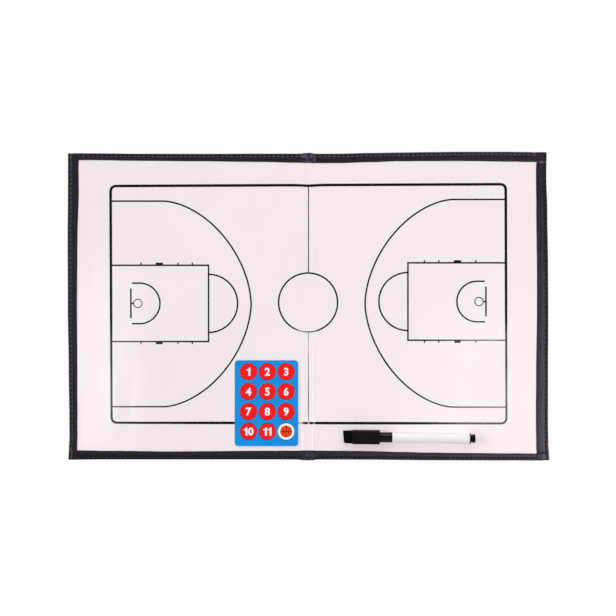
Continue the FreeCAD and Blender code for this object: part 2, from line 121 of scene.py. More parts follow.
class CoverSettings(PropertyGroup):
    """Sizes and colours of the turned cover and its stitching."""

    stitch_pitch: FloatProperty(
        name="Stitch pitch", description="From one stitch to the next", default=0.00455, unit="LENGTH")
    stitch_length: FloatProperty(
        name="Stitch length", description="Thread that shows between two holes",
        default=0.0027, unit="LENGTH")
    stitch_inset: FloatProperty(
        name="Stitch inset", description="From the outer edge to the row of stitches",
        default=0.0024, unit="LENGTH")
    thread_width: FloatProperty(
        name="Thread width", description="Thickness of the sewing thread", default=0.0008, unit="LENGTH")
    hole_depth: FloatProperty(
        name="Hole depth", description="How deep the needle holes pull the cover in",
        default=0.00034, unit="LENGTH")
    corner_lift: FloatProperty(
        name="Corner lift", description="Rise of the side hem over the end hem",
        default=0.0005, unit="LENGTH")
    leather: FloatVectorProperty(
        name="Cover", description="Colour of the leatherette",
        subtype="COLOR", default=(0.0036, 0.0032, 0.0072))
    # Also the colour of the painted highlight on the swells between stitches and on the hem's bunching at
    # the spine.
    leather_rubbed_and_highlit: FloatVectorProperty(
        name="Rubbed cover", description="Colour of rubbed edges",
        subtype="COLOR", default=(0.056, 0.050, 0.074))
    sheen: FloatVectorProperty(
        name="Cover sheen", description="Tint of the cover's gloss",
        subtype="COLOR", default=(1.0, 0.84, 0.99))
    thread: FloatVectorProperty(
        name="Thread", description="Colour of the sewing thread",
        subtype="COLOR", default=(0.0030, 0.0030, 0.0036))


class PrintSettings(PropertyGroup):
    """Sizes and colours of the writing film and the court printed on it."""

    border_line: FloatProperty(
        name="Border line", description="Width of the line round the court", default=0.00266, unit="LENGTH")
    thin_line: FloatProperty(
        name="Thin line", description="Width of the other court lines", default=0.00160, unit="LENGTH")
    fine_line: FloatProperty(
        name="Fine line", description="Width of the centre line and the rim",
        default=0.00096, unit="LENGTH")
    centre_radius: FloatProperty(
        name="Centre circle", description="Radius of the centre circle", default=0.0289, unit="LENGTH")
    throw_radius: FloatProperty(
        name="Throw circle", description="Radius of the half circle at the key",
        default=0.02845, unit="LENGTH")
    film: FloatVectorProperty(
        name="Film", description="Colour of the writing film",
        subtype="COLOR", default=(0.880, 0.790, 0.822))
    ink: FloatVectorProperty(
        name="Court ink", description="Colour of the printed lines",
        subtype="COLOR", default=(0.0050, 0.0042, 0.0048))


class MagnetSettings(PropertyGroup):
    """Sizes and colours of the magnet card and its round magnets."""

    number_height: FloatProperty(
        name="Number height", description="Height of the printed numbers", default=0.0079, unit="LENGTH")
    ball_diameter: FloatProperty(
        name="Ball diameter", description="Diameter of the printed ball", default=0.0118, unit="LENGTH")
    card: FloatVectorProperty(
        name="Card", description="Colour of the card", subtype="COLOR", default=(0.0008, 0.255, 0.715))
    disc: FloatVectorProperty(
        name="Disc", description="Colour of the numbered discs",
        subtype="COLOR", default=(0.905, 0.0040, 0.0075))
    number: FloatVectorProperty(
        name="Number", description="Colour of the numbers", subtype="COLOR", default=(0.900, 0.880, 0.880))
    ball_disc: FloatVectorProperty(
        name="Ball disc", description="Colour of the ball's disc",
        subtype="COLOR", default=(0.930, 0.905, 0.914))
    ball: FloatVectorProperty(
        name="Ball", description="Colour of the printed ball",
        subtype="COLOR", default=(0.840, 0.062, 0.006))
    seam: FloatVectorProperty(
        name="Seam", description="Colour of the ball's seams",
        subtype="COLOR", default=(0.030, 0.004, 0.003))


class PenSettings(PropertyGroup):
    """Colours of the marker pen."""

    barrel: FloatVectorProperty(
        name="Barrel", description="Colour of the barrel", subtype="COLOR", default=(0.840, 0.818, 0.828))
    cap: FloatVectorProperty(
        name="Cap", description="Colour of the cap", subtype="COLOR", default=(0.0048, 0.0025, 0.0031))
    plug: FloatVectorProperty(
        name="Plug", description="Colour of the tail plug",
        subtype="COLOR", default=(0.0018, 0.0014, 0.0016))
    felt: FloatVectorProperty(
        name="Felt", description="Colour of the eraser felt",
        subtype="COLOR", default=(0.0011, 0.0013, 0.0011))
    felt_nap: FloatProperty(
        name="Felt nap", description="Roughness of the felt's surface", default=0.00022, unit="LENGTH")


class StageSettings(PropertyGroup):
    """Camera, lamps and floor."""

    camera_height: FloatProperty(
        name="Camera height", description="Camera above the writing face", default=1.4263, unit="LENGTH")
    lens: FloatProperty(
        name="Lens", description="Focal length of the camera, in mm", default=85.0, unit="CAMERA")
    world_level: FloatProperty(
        name="World level", description="Strength of the even light from all round", default=0.10)
    lamp_power: FloatProperty(
        name="Lamp power", description="Power that each soft lamp takes its share of",
        default=60.6, unit="POWER")
    glare_power: FloatProperty(
        name="Glare power", description="Power of the small panels that shine in the film",
        default=0.42, unit="POWER")
    floor: FloatVectorProperty(
        name="Floor", description="Colour of the floor", subtype="COLOR", default=(0.92, 0.92, 0.92))


SETTINGS = {
    "board_cover": CoverSettings,
    "board_print": PrintSettings,
    "board_magnets": MagnetSettings,
    "board_pen": PenSettings,
    "board_stage": StageSettings,
}


def smooth(value):
    """Eases a share from 0 to 1."""
    share = min(1.0, max(0.0, value))
    return share * share * (3.0 - 2.0 * share)


def along(table, place, column):
    """Reads a column of a short table at a place, easing from row to row."""
    if place <= table[0][0]:
        return table[0][column]
    for before, after in zip(table, table[1:]):
        if place <= after[0]:
            share = smooth((place - before[0]) / (after[0] - before[0]))
            return before[column] + (after[column] - before[column]) * share
    return table[-1][column]


def steps(start, stop, pitch):
    """Places from start to stop, no further apart than the pitch."""
    count = max(1, math.ceil(abs(stop - start) / pitch))
    return [start + (stop - start) * index / count for index in range(count + 1)]


def ripple(x, y, size, seed):
    """Even noise between about -1 and 1, with features of the given size in mm."""
    return noise.noise(Vector((x / size, y / size, seed)))


def nowhere(*place):
    """No lift, tuck or wear at any place."""
    return 0.0


def flat(level):
    """A surface with the same height at every place."""
    return lambda x, y: level


def add_node(tree, kind, inputs=None, **settings):
    """Adds a shader node, sets its options, and links or sets its inputs."""
    node = tree.nodes.new(kind)
    for option, value in settings.items():
        setattr(node, option, value)
    for socket, value in (inputs or {}).items():
        if isinstance(value, NodeSocket):
            tree.links.new(value, node.inputs[socket])
        else:
            node.inputs[socket].default_value = value
    return node


def mix_colours(tree, share, first, second):
    """Mixes two colours and returns the result's socket."""
    return add_node(tree, "ShaderNodeMix", {0: share, 6: first, 7: second}, data_type="RGBA").outputs[2]


def calculate(tree, operation, *values):
    """One step of arithmetic on sockets or numbers."""
    return add_node(tree, "ShaderNodeMath", dict(enumerate(values)), operation=operation).outputs[0]


def spread(tree, value, from_low, from_high, to_low, to_high):
    """Carries a value from one range to another, held at the ends."""
    ranges = {"From Min": from_low, "From Max": from_high, "To Min": to_low, "To Max": to_high}
    return add_node(tree, "ShaderNodeMapRange", {"Value": value, **ranges}, clamp=True).outputs["Result"]


def surface_place(tree):
    """Places on the piece in metres, which stay with the piece when it moves."""
    return add_node(tree, "ShaderNodeTexCoord").outputs["Object"]


def clouds(tree, place, scale, detail, **more):
    """Soft noise between 0 and 1."""
    inputs = {"Vector": place, "Scale": scale, "Detail": detail, **more}
    return add_node(tree, "ShaderNodeTexNoise", inputs).outputs["Fac"]


def mask(tree, name):
    """A mask that the piece itself carries, or 0 where it has none."""
    return add_node(tree, "ShaderNodeAttribute", attribute_name=name).outputs["Fac"]


def cloudy_tone(tree, given, place):
    """Two close colours in soft clouds, as an uneven dye or print gives."""
    cloud = clouds(tree, place, given["Scale"], given["Detail"], Roughness=0.6)
    share = spread(tree, cloud, 0.3, 0.7, 0.0, 1.0)
    return {"Colour": mix_colours(tree, share, given["Shade"], given["Tone"])}


# How far the pebbles stray from an even pattern, in metres
PEBBLE_WANDER = (0.0006, 0.0006, 0.0006)


def pebble_grain(tree, given, place):
    """Pressed leather grain: rounded pebbles parted by fine creases."""
    wander = clouds(tree, place, scale=620.0, detail=2.0).node.outputs["Color"]
    moved = add_node(
        tree, "ShaderNodeVectorMath", {0: wander, 1: PEBBLE_WANDER, 2: place}, operation="MULTIPLY_ADD")
    pebbles = add_node(
        tree, "ShaderNodeTexVoronoi", {"Vector": moved.outputs["Vector"], "Scale": given["Scale"]},
        feature="DISTANCE_TO_EDGE").outputs["Distance"]
    pores = clouds(tree, place, scale=5200.0, detail=2.0)
    return {
        "Height": calculate(tree, "MULTIPLY_ADD", pores, 0.25, spread(tree, pebbles, 0.0, 0.28, 0.0, 1.0)),
        "Crease Mask": spread(tree, pebbles, 0.0, given["Crease"], 1.0, 0.0),
    }


def edge_wear_and_painted_highlight(tree, given, place):
    """Broken wear where the piece's own mask says that hands and tables touch it, and broken painted
    highlight where it marks the swells between stitches and the bunching at the spine.
    """
    share = spread(tree, clouds(tree, place, given["Scale"], detail=5.0), 0.42, 0.66, 0.0, 1.0)
    worn = calculate(tree, "MULTIPLY", mask(tree, "rub"), share)
    return {"Mask": calculate(tree, "MULTIPLY", worn, given["Amount"])}


def handling_marks(tree, given, place):
    """Smudges and fine wipe marks, as a value between two limits."""
    smudges = clouds(tree, place, given["Smudge Scale"], detail=3.0)
    wiped = {"Rotation": (0.0, 0.0, 0.5), "Scale": (1.0, 0.09, 1.0)}
    turned = add_node(tree, "ShaderNodeMapping", {"Vector": place, **wiped}).outputs["Vector"]
    strokes = clouds(tree, turned, given["Stroke Scale"], detail=6.0, Roughness=0.7)
    stroke = spread(tree, strokes, 0.5, 0.75, 0.0, 1.0)
    share = calculate(tree, "MULTIPLY_ADD", stroke, 0.35, smudges)
    return {"Value": spread(tree, share, 0.3, 0.85, given["Low"], given["High"]), "Stroke": stroke}


def skin_texture(tree, given, place):
    """Very fine orange peel of moulded or printed plastic, with a few specks."""
    specks = add_node(tree, "ShaderNodeTexVoronoi", {"Vector": place, "Scale": given["Speck Scale"]})
    return {
        "Height": clouds(tree, place, given["Scale"], detail=2.0),
        "Speck": spread(tree, specks.outputs["Distance"], 0.06, 0.11, 1.0, 0.0),
    }


def fibre_nap(tree, given, place):
    """Matted fibres of felt, thread or board."""
    stretch = {0: place, "Scale": given["Stretch"]}
    pulled = add_node(tree, "ShaderNodeVectorMath", stretch, operation="SCALE").outputs["Vector"]
    tufts = clouds(tree, pulled, scale=130.0, detail=3.0)
    return {
        "Height": clouds(tree, place, given["Scale"], detail=6.0, Roughness=0.72, Distortion=1.6),
        "Tuft": spread(tree, tufts, 0.35, 0.65, 0.0, 1.0),
    }


GREY = (0.5, 0.5, 0.5, 1.0)
# Shared effects: what fills the node group, and the group's inputs with their defaults
EFFECTS = {
    "cloudy_tone": (cloudy_tone, {"Scale": 40.0, "Detail": 4.0, "Tone": GREY, "Shade": GREY}),
    "pebble_grain": (pebble_grain, {"Scale": 1100.0, "Crease": 0.12}),
    "edge_wear_and_painted_highlight": (edge_wear_and_painted_highlight, {"Scale": 300.0, "Amount": 0.5}),
    "handling_marks": (
        handling_marks, {"Smudge Scale": 25.0, "Stroke Scale": 120.0, "Low": 0.3, "High": 0.5}),
    "skin_texture": (skin_texture, {"Scale": 1800.0, "Speck Scale": 900.0}),
    "fibre_nap": (fibre_nap, {"Scale": 2500.0, "Stretch": 4.0}),
}


def make_group(name):
    """A shared effect as a shader node group, from the table of effects."""
    fill, inputs = EFFECTS[name]
    tree = bpy.data.node_groups.new(name, "ShaderNodeTree")
    for label, default in inputs.items():
        kind = "NodeSocketFloat" if isinstance(default, float) else "NodeSocketColor"
        socket = tree.interface.new_socket(label, in_out="INPUT", socket_type=kind)
        socket.default_value = default
    given = tree.nodes.new("NodeGroupInput").outputs
    results = fill(tree, given, surface_place(tree))
    for label, socket in results.items():
        kind = "NodeSocketColor" if socket.type == "RGBA" else "NodeSocketFloat"
        tree.interface.new_socket(label, in_out="OUTPUT", socket_type=kind)
    add_node(tree, "NodeGroupOutput", results)
    return tree


def use_group(tree, name, inputs):
    """Places a shared effect in a material, with that material's own values."""
    shared = bpy.data.node_groups.get(name) or make_group(name)
    return add_node(tree, "ShaderNodeGroup", inputs, node_tree=shared).outputs


def opaque(colour, factor=1.0):
    """A colour with full alpha, made lighter or darker by a factor."""
    return tuple(min(1.0, channel * factor) for channel in colour) + (1.0,)


def toned(tree, colour, scale, detail, light, dark):
    """A colour in soft clouds between a lighter and a darker tone of itself."""
    tones = {"Tone": opaque(colour, light), "Shade": opaque(colour, dark)}
    return use_group(tree, "cloudy_tone", {"Scale": scale, "Detail": detail, **tones})["Colour"]


def marked(tree, smudge, stroke, low, high):
    """Handling marks between two limits of roughness, and the wipe strokes alone."""
    inputs = {"Smudge Scale": smudge, "Stroke Scale": stroke, "Low": low, "High": high}
    return use_group(tree, "handling_marks", inputs)


def start_material(name, **sockets):
    """A new material with plain values on its Principled shader. Returns the material, tree and shader."""
    material = bpy.data.materials.new(name)
    material.use_nodes = True
    shader = material.node_tree.nodes["Principled BSDF"]
    for socket, value in sockets.items():
        shader.inputs[socket.replace("_", " ")].default_value = value
    return material, material.node_tree, shader


def finish_material(tree, shader, colour, roughness, height=None, strength=0.0, depth=0.0):
    """Links a colour, a roughness and a bump to the shader; the bump's depth is in mm."""
    tree.links.new(colour, shader.inputs["Base Color"])
    tree.links.new(roughness, shader.inputs["Roughness"])
    if height is not None:
        raised = {"Height": height, "Strength": strength, "Distance": depth * MM}
        bump = add_node(tree, "ShaderNodeBump", raised)
        tree.links.new(bump.outputs["Normal"], shader.inputs["Normal"])


def made_once(make):
    """Lets a material be made on its first use and found by its name after that."""
    return lambda name, *values: bpy.data.materials.get(name) or make(name, *values)


@made_once
def leatherette(name, cover):
    """Dark pressed leatherette with rubbed edges, painted highlights on the swells between stitches and on
    the spine's bunching, and painted shade in the needle holes, on the outer wall and in the grain's
    creases.
    """
    material, tree, shader = start_material(
        name, Specular_IOR_Level=0.51, Specular_Tint=opaque(cover.sheen))
    grain = use_group(tree, "pebble_grain", {"Scale": 800.0, "Crease": 0.10})
    wear = use_group(tree, "edge_wear_and_painted_highlight", {"Scale": 420.0, "Amount": 0.55})
    tone = toned(tree, cover.leather, scale=60.0, detail=5.0, light=1.25, dark=0.75)
    # Painted shade: the grain's creases are darker.
    creased = mix_colours(tree, grain["Crease Mask"], tone, opaque(cover.leather, 0.45))
    # Rubbed edges, and a painted highlight where the mask marks the swells between stitches and the
    # bunching at the spine.
    rubbed_and_highlit = mix_colours(tree, wear["Mask"], creased, opaque(cover.leather_rubbed_and_highlit))
    # Painted shade in the needle holes and on the hem's outer wall.
    with_painted_shade = mix_colours(tree, mask(tree, "hole"), rubbed_and_highlit, opaque(cover.leather, 0.12))
    gloss = marked(tree, smudge=30.0, stroke=160.0, low=0.28, high=0.34)["Value"]
    finish_material(tree, shader, with_painted_shade, gloss, grain["Height"], strength=0.38, depth=0.13)
    return material


@made_once
def writing_film(name, colour):
    """Glossy wipe-clean film with faint smears and a slightly wavy surface."""
    material, tree, shader = start_material(name, Specular_IOR_Level=0.35)
    tone = toned(tree, colour, scale=9.0, detail=3.0, light=1.012, dark=0.982)
    marks = marked(tree, smudge=14.0, stroke=34.0, low=0.10, high=0.18)
    smear = calculate(tree, "MULTIPLY", marks["Stroke"], 0.03)
    smeared = mix_colours(tree, smear, tone, opaque(colour, 0.85))
    drawn = add_node(tree, "ShaderNodeMapping", {"Vector": surface_place(tree), "Scale": (1.5, 0.6, 1.0)})
    waves = clouds(tree, drawn.outputs["Vector"], scale=20.0, detail=3.0)
    finish_material(tree, shader, smeared, marks["Value"], waves, strength=0.7, depth=0.8)
    return material


@made_once
def court_ink(name, ink, film):
    """Printed ink, worn thin where the board is wiped and gripped most."""
    material, tree, shader = start_material(name, Specular_IOR_Level=0.22)
    tone = toned(tree, ink, scale=160.0, detail=4.0, light=1.6, dark=0.7)
    worn = mix_colours(tree, mask(tree, "faded"), tone, opaque(film))
    gloss = marked(tree, smudge=14.0, stroke=70.0, low=0.18, high=0.32)["Value"]
    finish_material(tree, shader, worn, gloss)
    return material


# Smooth surfaces: (specular level, cloud scale, lightest and darkest tone, roughness limits, bump in mm)
SKINS = {
    "card_vinyl": (0.25, 60.0, 1.06, 0.94, 0.30, 0.42, 0.020),
    "disc_vinyl": (0.26, 110.0, 1.05, 0.93, 0.28, 0.40, 0.018),
    "ball_disc_vinyl": (0.45, 110.0, 1.04, 0.96, 0.28, 0.40, 0.018),
    "number_ink": (0.40, 200.0, 1.03, 0.95, 0.32, 0.45, 0.012),
    "ball_ink": (0.16, 260.0, 1.10, 0.86, 0.32, 0.45, 0.012),
    "seam_ink": (0.12, 200.0, 1.40, 0.70, 0.35, 0.50, 0.012),
    "barrel_plastic": (0.55, 70.0, 1.02, 0.97, 0.18, 0.30, 0.012),
    "cap_plastic": (0.10, 90.0, 1.30, 0.75, 0.28, 0.40, 0.010),
    "plug_plastic": (0.09, 90.0, 1.20, 0.60, 0.12, 0.22, 0.006),
}


@made_once
def smooth_skin(name, colour):
    """Printed vinyl, ink or moulded plastic, from the table of smooth surfaces."""
    specular, scale, light, dark, low, high, depth = SKINS[name]
    material, tree, shader = start_material(name, Specular_IOR_Level=specular)
    skin = use_group(tree, "skin_texture", {"Scale": 2200.0, "Speck Scale": 520.0})
    speck = calculate(tree, "MULTIPLY", skin["Speck"], 0.25)
    tone = toned(tree, colour, scale, detail=4.0, light=light, dark=dark)
    specked = mix_colours(tree, speck, tone, opaque(colour, 0.7))
    gloss = marked(tree, smudge=70.0, stroke=240.0, low=low, high=high)["Value"]
    finish_material(tree, shader, specked, gloss, skin["Height"], strength=0.3, depth=depth)
    return material


# The cap's polished skirt: where it starts and how softly, along x in mm, and its polish
SKIRT_START = 71.0
SKIRT_BLUR = 0.2
SKIRT_POLISH = 0.40
SKIRT_ROUGHNESS = 0.06


@made_once
def two_gloss_cap(name, colour):
    """The cap's plastic: matt on the body and polished on the skirt."""
    material = smooth_skin(name, colour)
    tree = material.node_tree
    shader = tree.nodes["Principled BSDF"]
    place = add_node(tree, "ShaderNodeSeparateXYZ", {"Vector": surface_place(tree)}).outputs["X"]
    limits = [(SKIRT_START + blur) * MM for blur in (-SKIRT_BLUR, SKIRT_BLUR)]
    tree.links.new(spread(tree, place, *limits, 0.0, SKIRT_POLISH), shader.inputs["Coat Weight"])
    shader.inputs["Coat Roughness"].default_value = SKIRT_ROUGHNESS
    return material


# Board, rubber and fibres: (colour, lightest and darkest tone, fibre scale, bump in mm, roughness)
DULLS = {
    "pressed_greyboard": ((0.30, 0.28, 0.25), 1.15, 0.80, 1900.0, 0.10, 0.90),
    "filled_rubber": ((0.018, 0.017, 0.016), 1.30, 0.70, 2600.0, 0.05, 0.78),
    "fibre_bundle": ((0.020, 0.020, 0.022), 1.50, 0.60, 6000.0, 0.06, 0.85),
    "ink_wadding": ((0.012, 0.012, 0.015), 1.50, 0.60, 3600.0, 0.12, 0.95),
}


@made_once
def dull_fibre(name):
    """Board, rubber or fibre from the table of dull surfaces."""
    colour, light, dark, scale, depth, roughness = DULLS[name]
    material, tree, shader = start_material(name, Specular_IOR_Level=0.25)
    nap = use_group(tree, "fibre_nap", {"Scale": scale, "Stretch": 3.0})
    fleck = calculate(tree, "MULTIPLY", nap["Tuft"], 0.3)
    tone = toned(tree, colour, scale=240.0, detail=6.0, light=light, dark=dark)
    flecked = mix_colours(tree, fleck, tone, opaque(colour, dark * 0.8))
    gloss = spread(tree, nap["Height"], 0.3, 0.7, roughness - 0.08, roughness + 0.05)
    finish_material(tree, shader, flecked, gloss, nap["Height"], strength=0.6, depth=depth)
    return material


# Thread and felt: (specular level, sheen, cloud scale and detail, lightest and darkest tone, fibre scale
# and stretch, roughness limits, bump strength and depth in mm)
NAPS = {
    "sewing_thread": (0.20, 0.0, 900.0, 3.0, 1.5, 0.6, 5200.0, 6.0, 0.70, 0.90, 0.6, 0.1),
    "eraser_felt": (0.05, 0.02, 420.0, 6.0, 1.9, 0.5, 3800.0, 5.0, 0.85, 1.00, 0.9, 0.3),
}


@made_once
def soft_nap(name, colour):
    """Twisted thread or pressed felt, from the table above."""
    specular, sheen, clouding, detail, light, dark, scale, stretch, low, high, strength, depth = NAPS[name]
    material, tree, shader = start_material(name, Specular_IOR_Level=specular, Sheen_Weight=sheen)
    nap = use_group(tree, "fibre_nap", {"Scale": scale, "Stretch": stretch})
    tone = toned(tree, colour, clouding, detail, light, dark)
    gloss = spread(tree, nap["Tuft"], 0.0, 1.0, low, high)
    finish_material(tree, shader, tone, gloss, nap["Height"], strength, depth)
    return material


STEEL_COLOUR = (0.52, 0.53, 0.55)


@made_once
def sheet_steel(name, colour):
    """Thin rolled steel with fine rolling lines."""
    material, tree, shader = start_material(name, Metallic=1.0)
    tone = toned(tree, colour, scale=30.0, detail=4.0, light=1.05, dark=0.88)
    marks = marked(tree, smudge=20.0, stroke=900.0, low=0.28, high=0.48)
    finish_material(tree, shader, tone, marks["Value"], marks["Stroke"], strength=0.15, depth=0.02)
    return material


def finish_nodes(material, slot, *nodes):
    """Gives carried-over CAD nodes their finished material; slot is not used."""
    for node in nodes:
        piece = frame["nodes"][node]
        piece.data.materials.clear()
        piece.data.materials.append(material)


def carry(piece, body):
    """Lets a piece ride on a body. A side in the body's place only has its transform fixed into its mesh.
    """
    if isinstance(body, str):
        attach(piece, body)
        return
    if body < 0:
        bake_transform(piece)
    else:
        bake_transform(piece)


# Up to this angle in degrees, neighbouring faces are shaded as one surface.
SMOOTH_ANGLE = 38.0


def make_piece(name, shape, material, body, node=None, masks=None, sharp=SMOOTH_ANGLE):
    """A closed mesh from (points in mm, faces), smooth up to an angle, in place of a CAD node if named."""
    points, faces = shape
    mesh = bpy.data.meshes.new(name)
    mesh.from_pydata([[value * MM for value in point] for point in points], [], faces)
    turned = bmesh.new()
    turned.from_mesh(mesh)
    bmesh.ops.recalc_face_normals(turned, faces=turned.faces)
    turned.to_mesh(mesh)
    turned.free()
    mesh.shade_smooth()
    mesh.set_sharp_from_angle(angle=math.radians(sharp))
    for label, values in (masks or {}).items():
        mesh.attributes.new(label, "FLOAT", "POINT").data.foreach_set("value", values)
    mesh.materials.append(material)
    piece = bpy.data.objects.new(name, mesh)
    bpy.context.scene.collection.objects.link(piece)
    carry(piece, body)
    if node:
        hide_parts(node)


def swept(rings):
    """Points and faces of a closed bar that runs through rings of equally many points."""
    count = len(rings[0])
    points = [point for ring in rings for point in ring]
    faces = []
    for start in range(0, len(points) - count, count):
        for index in range(count):
            after = (index + 1) % count
            faces.append((start + index, start + after, start + count + after, start + count + index))
    faces.append(tuple(reversed(range(count))))
    faces.append(tuple(range(len(points) - count, len(points))))
    return points, faces


def joined(shapes):
    """Several (points, faces) shapes as one."""
    points = []
    faces = []
    for shape_points, shape_faces in shapes:
        start = len(points)
        points.extend(shape_points)
        faces.extend(tuple(start + index for index in face) for face in shape_faces)
    return points, faces


# The film over the spine, in mm: its two creases and the swell between them
CREASE_PLACE = 4.9
CREASE_WIDTH = 0.75
CREASE_DEPTH = 0.30
CREASE_SWAY = 0.35
SWELL_WIDTH = 2.6
SWELL_RISE = 0.10
FILM_RIPPLE = 0.05
FILM_EASE = 1.6


def film_level(x, y):
    """Height of the writing face in mm: flat on the leaves, with two creases and a swell on the spine."""
    if abs(x) >= HALF_SPINE:
        return FACE
    sway = CREASE_SWAY * ripple(0.0, y, size=38.0, seed=5.0)
    ease = smooth((HALF_SPINE - abs(x)) / FILM_EASE)
    crease = math.exp(-(((abs(x) - CREASE_PLACE - sway) / CREASE_WIDTH) ** 2))
    swell = math.exp(-((x / SWELL_WIDTH) ** 2))
    uneven = FILM_RIPPLE * ripple(x * 2.0, y, size=14.0, seed=2.0)
    return FACE + ease * (SWELL_RISE * swell - CREASE_DEPTH * crease + uneven)


# The turned hem, in mm. The three masks have one value for each point of its outline: rubbed wear, the
# needle holes, which get painted shade, and painted shade on the outer wall.
UNDER_LAP = 6.0
HEM_INSIDE = (0,) * 8
HEM_RUB = (0, 0, 0, 0, 0.2, 0.4, 0.2, 0, 0, 0, 0, 0, 0.1, 0, 0.1, 0.2, 0.2, 0.3, 0.3, *HEM_INSIDE)
HEM_HOLE = (0, 0.3, 1, 0.3, 0, 0, 0, 0, 0, 0, 0, 0, 0.3, 1, 0.3, 0, 0, 0, 0, *HEM_INSIDE)
HEM_PAINTED_WALL_SHADE = (0, 0, 0, 0, 0, 0, 0.2, 0.6, 0.8, 0.8, 0.6, 0.3, 0, 0, 0, 0, 0, 0, 0, *HEM_INSIDE)
HEM_TOP = range(11, 18)
HEM_GROWTH = 0.45
HEM_MIDDLE = 2.1
HEM_RIPPLE = 0.05
LIP_RIPPLE = 0.10
END_SETBACK = 1.2
SEWN_DROP = 0.40
TUCK_IN = 0.35
TUCK_LENGTH = 1.5
TUCK_SQUEEZE = 0.06
FOLD_LENGTH = 1.3
FOLD_HEIGHT = 0.30
FOLD_DRAW = 0.9
FOLD_ZONE = 2.0
FOLD_STEPS = (0.0, 0.12, 0.35, 0.7, 1.1)
LIFT_LENGTH = 1.4
GATHER_REACH = 2.5
GATHER_DEPTH = 0.22
# Painted highlight on the hem where it bunches at the spine, for each end; a value above 0 also makes the
# hem bunch.
GATHER_PAINTED_HIGHLIGHT = {-1: 0.7, 1: 3.6}
SWELL_START = 0.36
# Painted highlight on the swells of leather between stitches.
SWELL_PAINTED_HIGHLIGHT = 0.6
STEPS_PER_STITCH = 6.0


def hem_outline(width, inset, dip, lift):
    """A turned hem cut across: (distance in from the outer edge, height), from below round to its lip."""
    top = FACE + HEM_THICKNESS + lift
    return [
        (UNDER_LAP, 0.06), (inset + 0.6, 0.0), (inset, 0.10 + dip), (inset - 0.6, 0.0),
        (1.15, 0.03), (0.58, 0.17), (0.18, 0.62), (0.0, 1.30),
        (0.0, 2.40 + 0.5 * lift), (0.06, top - 1.28), (0.24, top - 0.88), (0.62, top - 0.64),
        (inset - 0.6, top - 0.46), (inset, top - SEWN_DROP - dip), (inset + 0.6, top - 0.18),
        (inset + 1.5, top), (0.62 * width, top - 0.02), (width - 0.85, top - 0.04),
        (width - 0.25, top - 0.16), (width, top - 0.48), (width, FACE + 0.02),
        (3.40, FACE + 0.02), (1.50, FACE - 0.55), (0.85, FACE - 1.20),
        (0.80, BACK_SHEET + 0.25), (1.20, BACK_SHEET), (UNDER_LAP, BACK_SHEET),
    ]


def edge_point(facing, place, outward):
    """A point by an edge that faces along x or y, from a place along it and a distance outward."""
    return facing[0] * outward + abs(facing[1]) * place, facing[1] * outward + abs(facing[0]) * place


def hem_bar(cover, table, places, facing, lift_at=nowhere, tuck_at=nowhere, gathered=0.0, rounded=()):
    """A turned hem and its masks of rub and of painted shade. Gathered ones bunch up at the spine and get a
    painted highlight there, as do the swells between stitches; rounded names the folded ends.
    """
    pitch = cover.stitch_pitch / MM
    inset = cover.stitch_inset / MM
    depth = cover.hole_depth / MM
    rings = []
    rub = []
    hole = []
    for place in places:
        bunched = smooth((HALF_SPINE + GATHER_REACH - abs(place)) / (2.0 * GATHER_REACH))
        tucked = tuck_at(place)
        edge = along(table, place, 1) + HEM_GROWTH - TUCK_IN * tucked
        width = along(table, place, 2) + HEM_GROWTH + LIP_RIPPLE * ripple(place, 0.0, size=9.0, seed=edge)
        from_stitch = abs(place / pitch - round(place / pitch))
        swell = smooth((from_stitch - SWELL_START) / (0.5 - SWELL_START))
        pull = 1.0 - swell
        fold = min([1.0] + [abs(place - end) / FOLD_LENGTH for end in rounded])
        squeeze = FOLD_HEIGHT + (1.0 - FOLD_HEIGHT) * math.sqrt(1.0 - (1.0 - fold) ** 2)
        squeeze *= 1.0 - TUCK_SQUEEZE * tucked
        ring = []
        for index, (inward, height) in enumerate(hem_outline(width, inset, depth * pull, lift_at(place))):
            if index in HEM_TOP:
                height += HEM_RIPPLE * (ripple(place, inward, size=5.0, seed=edge) - pull)
            if index in HEM_TOP and gathered:
                slanted = inward * 0.7 + place * 1.1
                height += GATHER_DEPTH * bunched * ripple(place * 2.2, slanted, size=3.2, seed=7.0)
            height = HEM_MIDDLE + (height - HEM_MIDDLE) * squeeze
            outward = edge - inward - FOLD_DRAW * (1.0 - squeeze) * (inward < FOLD_ZONE)
            ring.append((*edge_point(facing, place, outward), height))
            # Painted highlight, carried in the rub mask: on the bunching at the spine and on the swells
            # between stitches.
            bunch_painted_highlight = gathered * bunched * (index in HEM_TOP)
            rub.append(max(HEM_RUB[index], SWELL_PAINTED_HIGHLIGHT * swell * HEM_HOLE[index], bunch_painted_highlight))
            # Painted shade: in the needle holes and on the outer wall.
            hole.append(max(HEM_PAINTED_WALL_SHADE[index], HEM_HOLE[index] * pull))
        rings.append(ring)
    return swept(rings), {"rub": rub, "hole": hole}


def stitch_steps(cover, low, high, margin):
    """Places along a hem, some to each stitch, that stay a few steps clear of both ends."""
    pitch = cover.stitch_pitch / MM / STEPS_PER_STITCH
    first = math.ceil(low / pitch) + margin
    return [pitch * index for index in range(first, math.floor(high / pitch) - margin + 1)]


# Flat sheets, in mm: their reach before they are cut, their grid, and how far inside the border they end
SHEET_REACH = (236.0, 152.0)
SHEET_PITCH = 9.0
BOARD_GAP = 1.2
FILM_GAP = 3.6
COVER_LAP = 1.0
SPINE_COVER_LAP = 1.5
BACK_LEVEL = 0.005
BACK_UNEVEN = 0.02
SPINE_PITCH = 0.25
SPINE_FILM_PITCH = 2.5


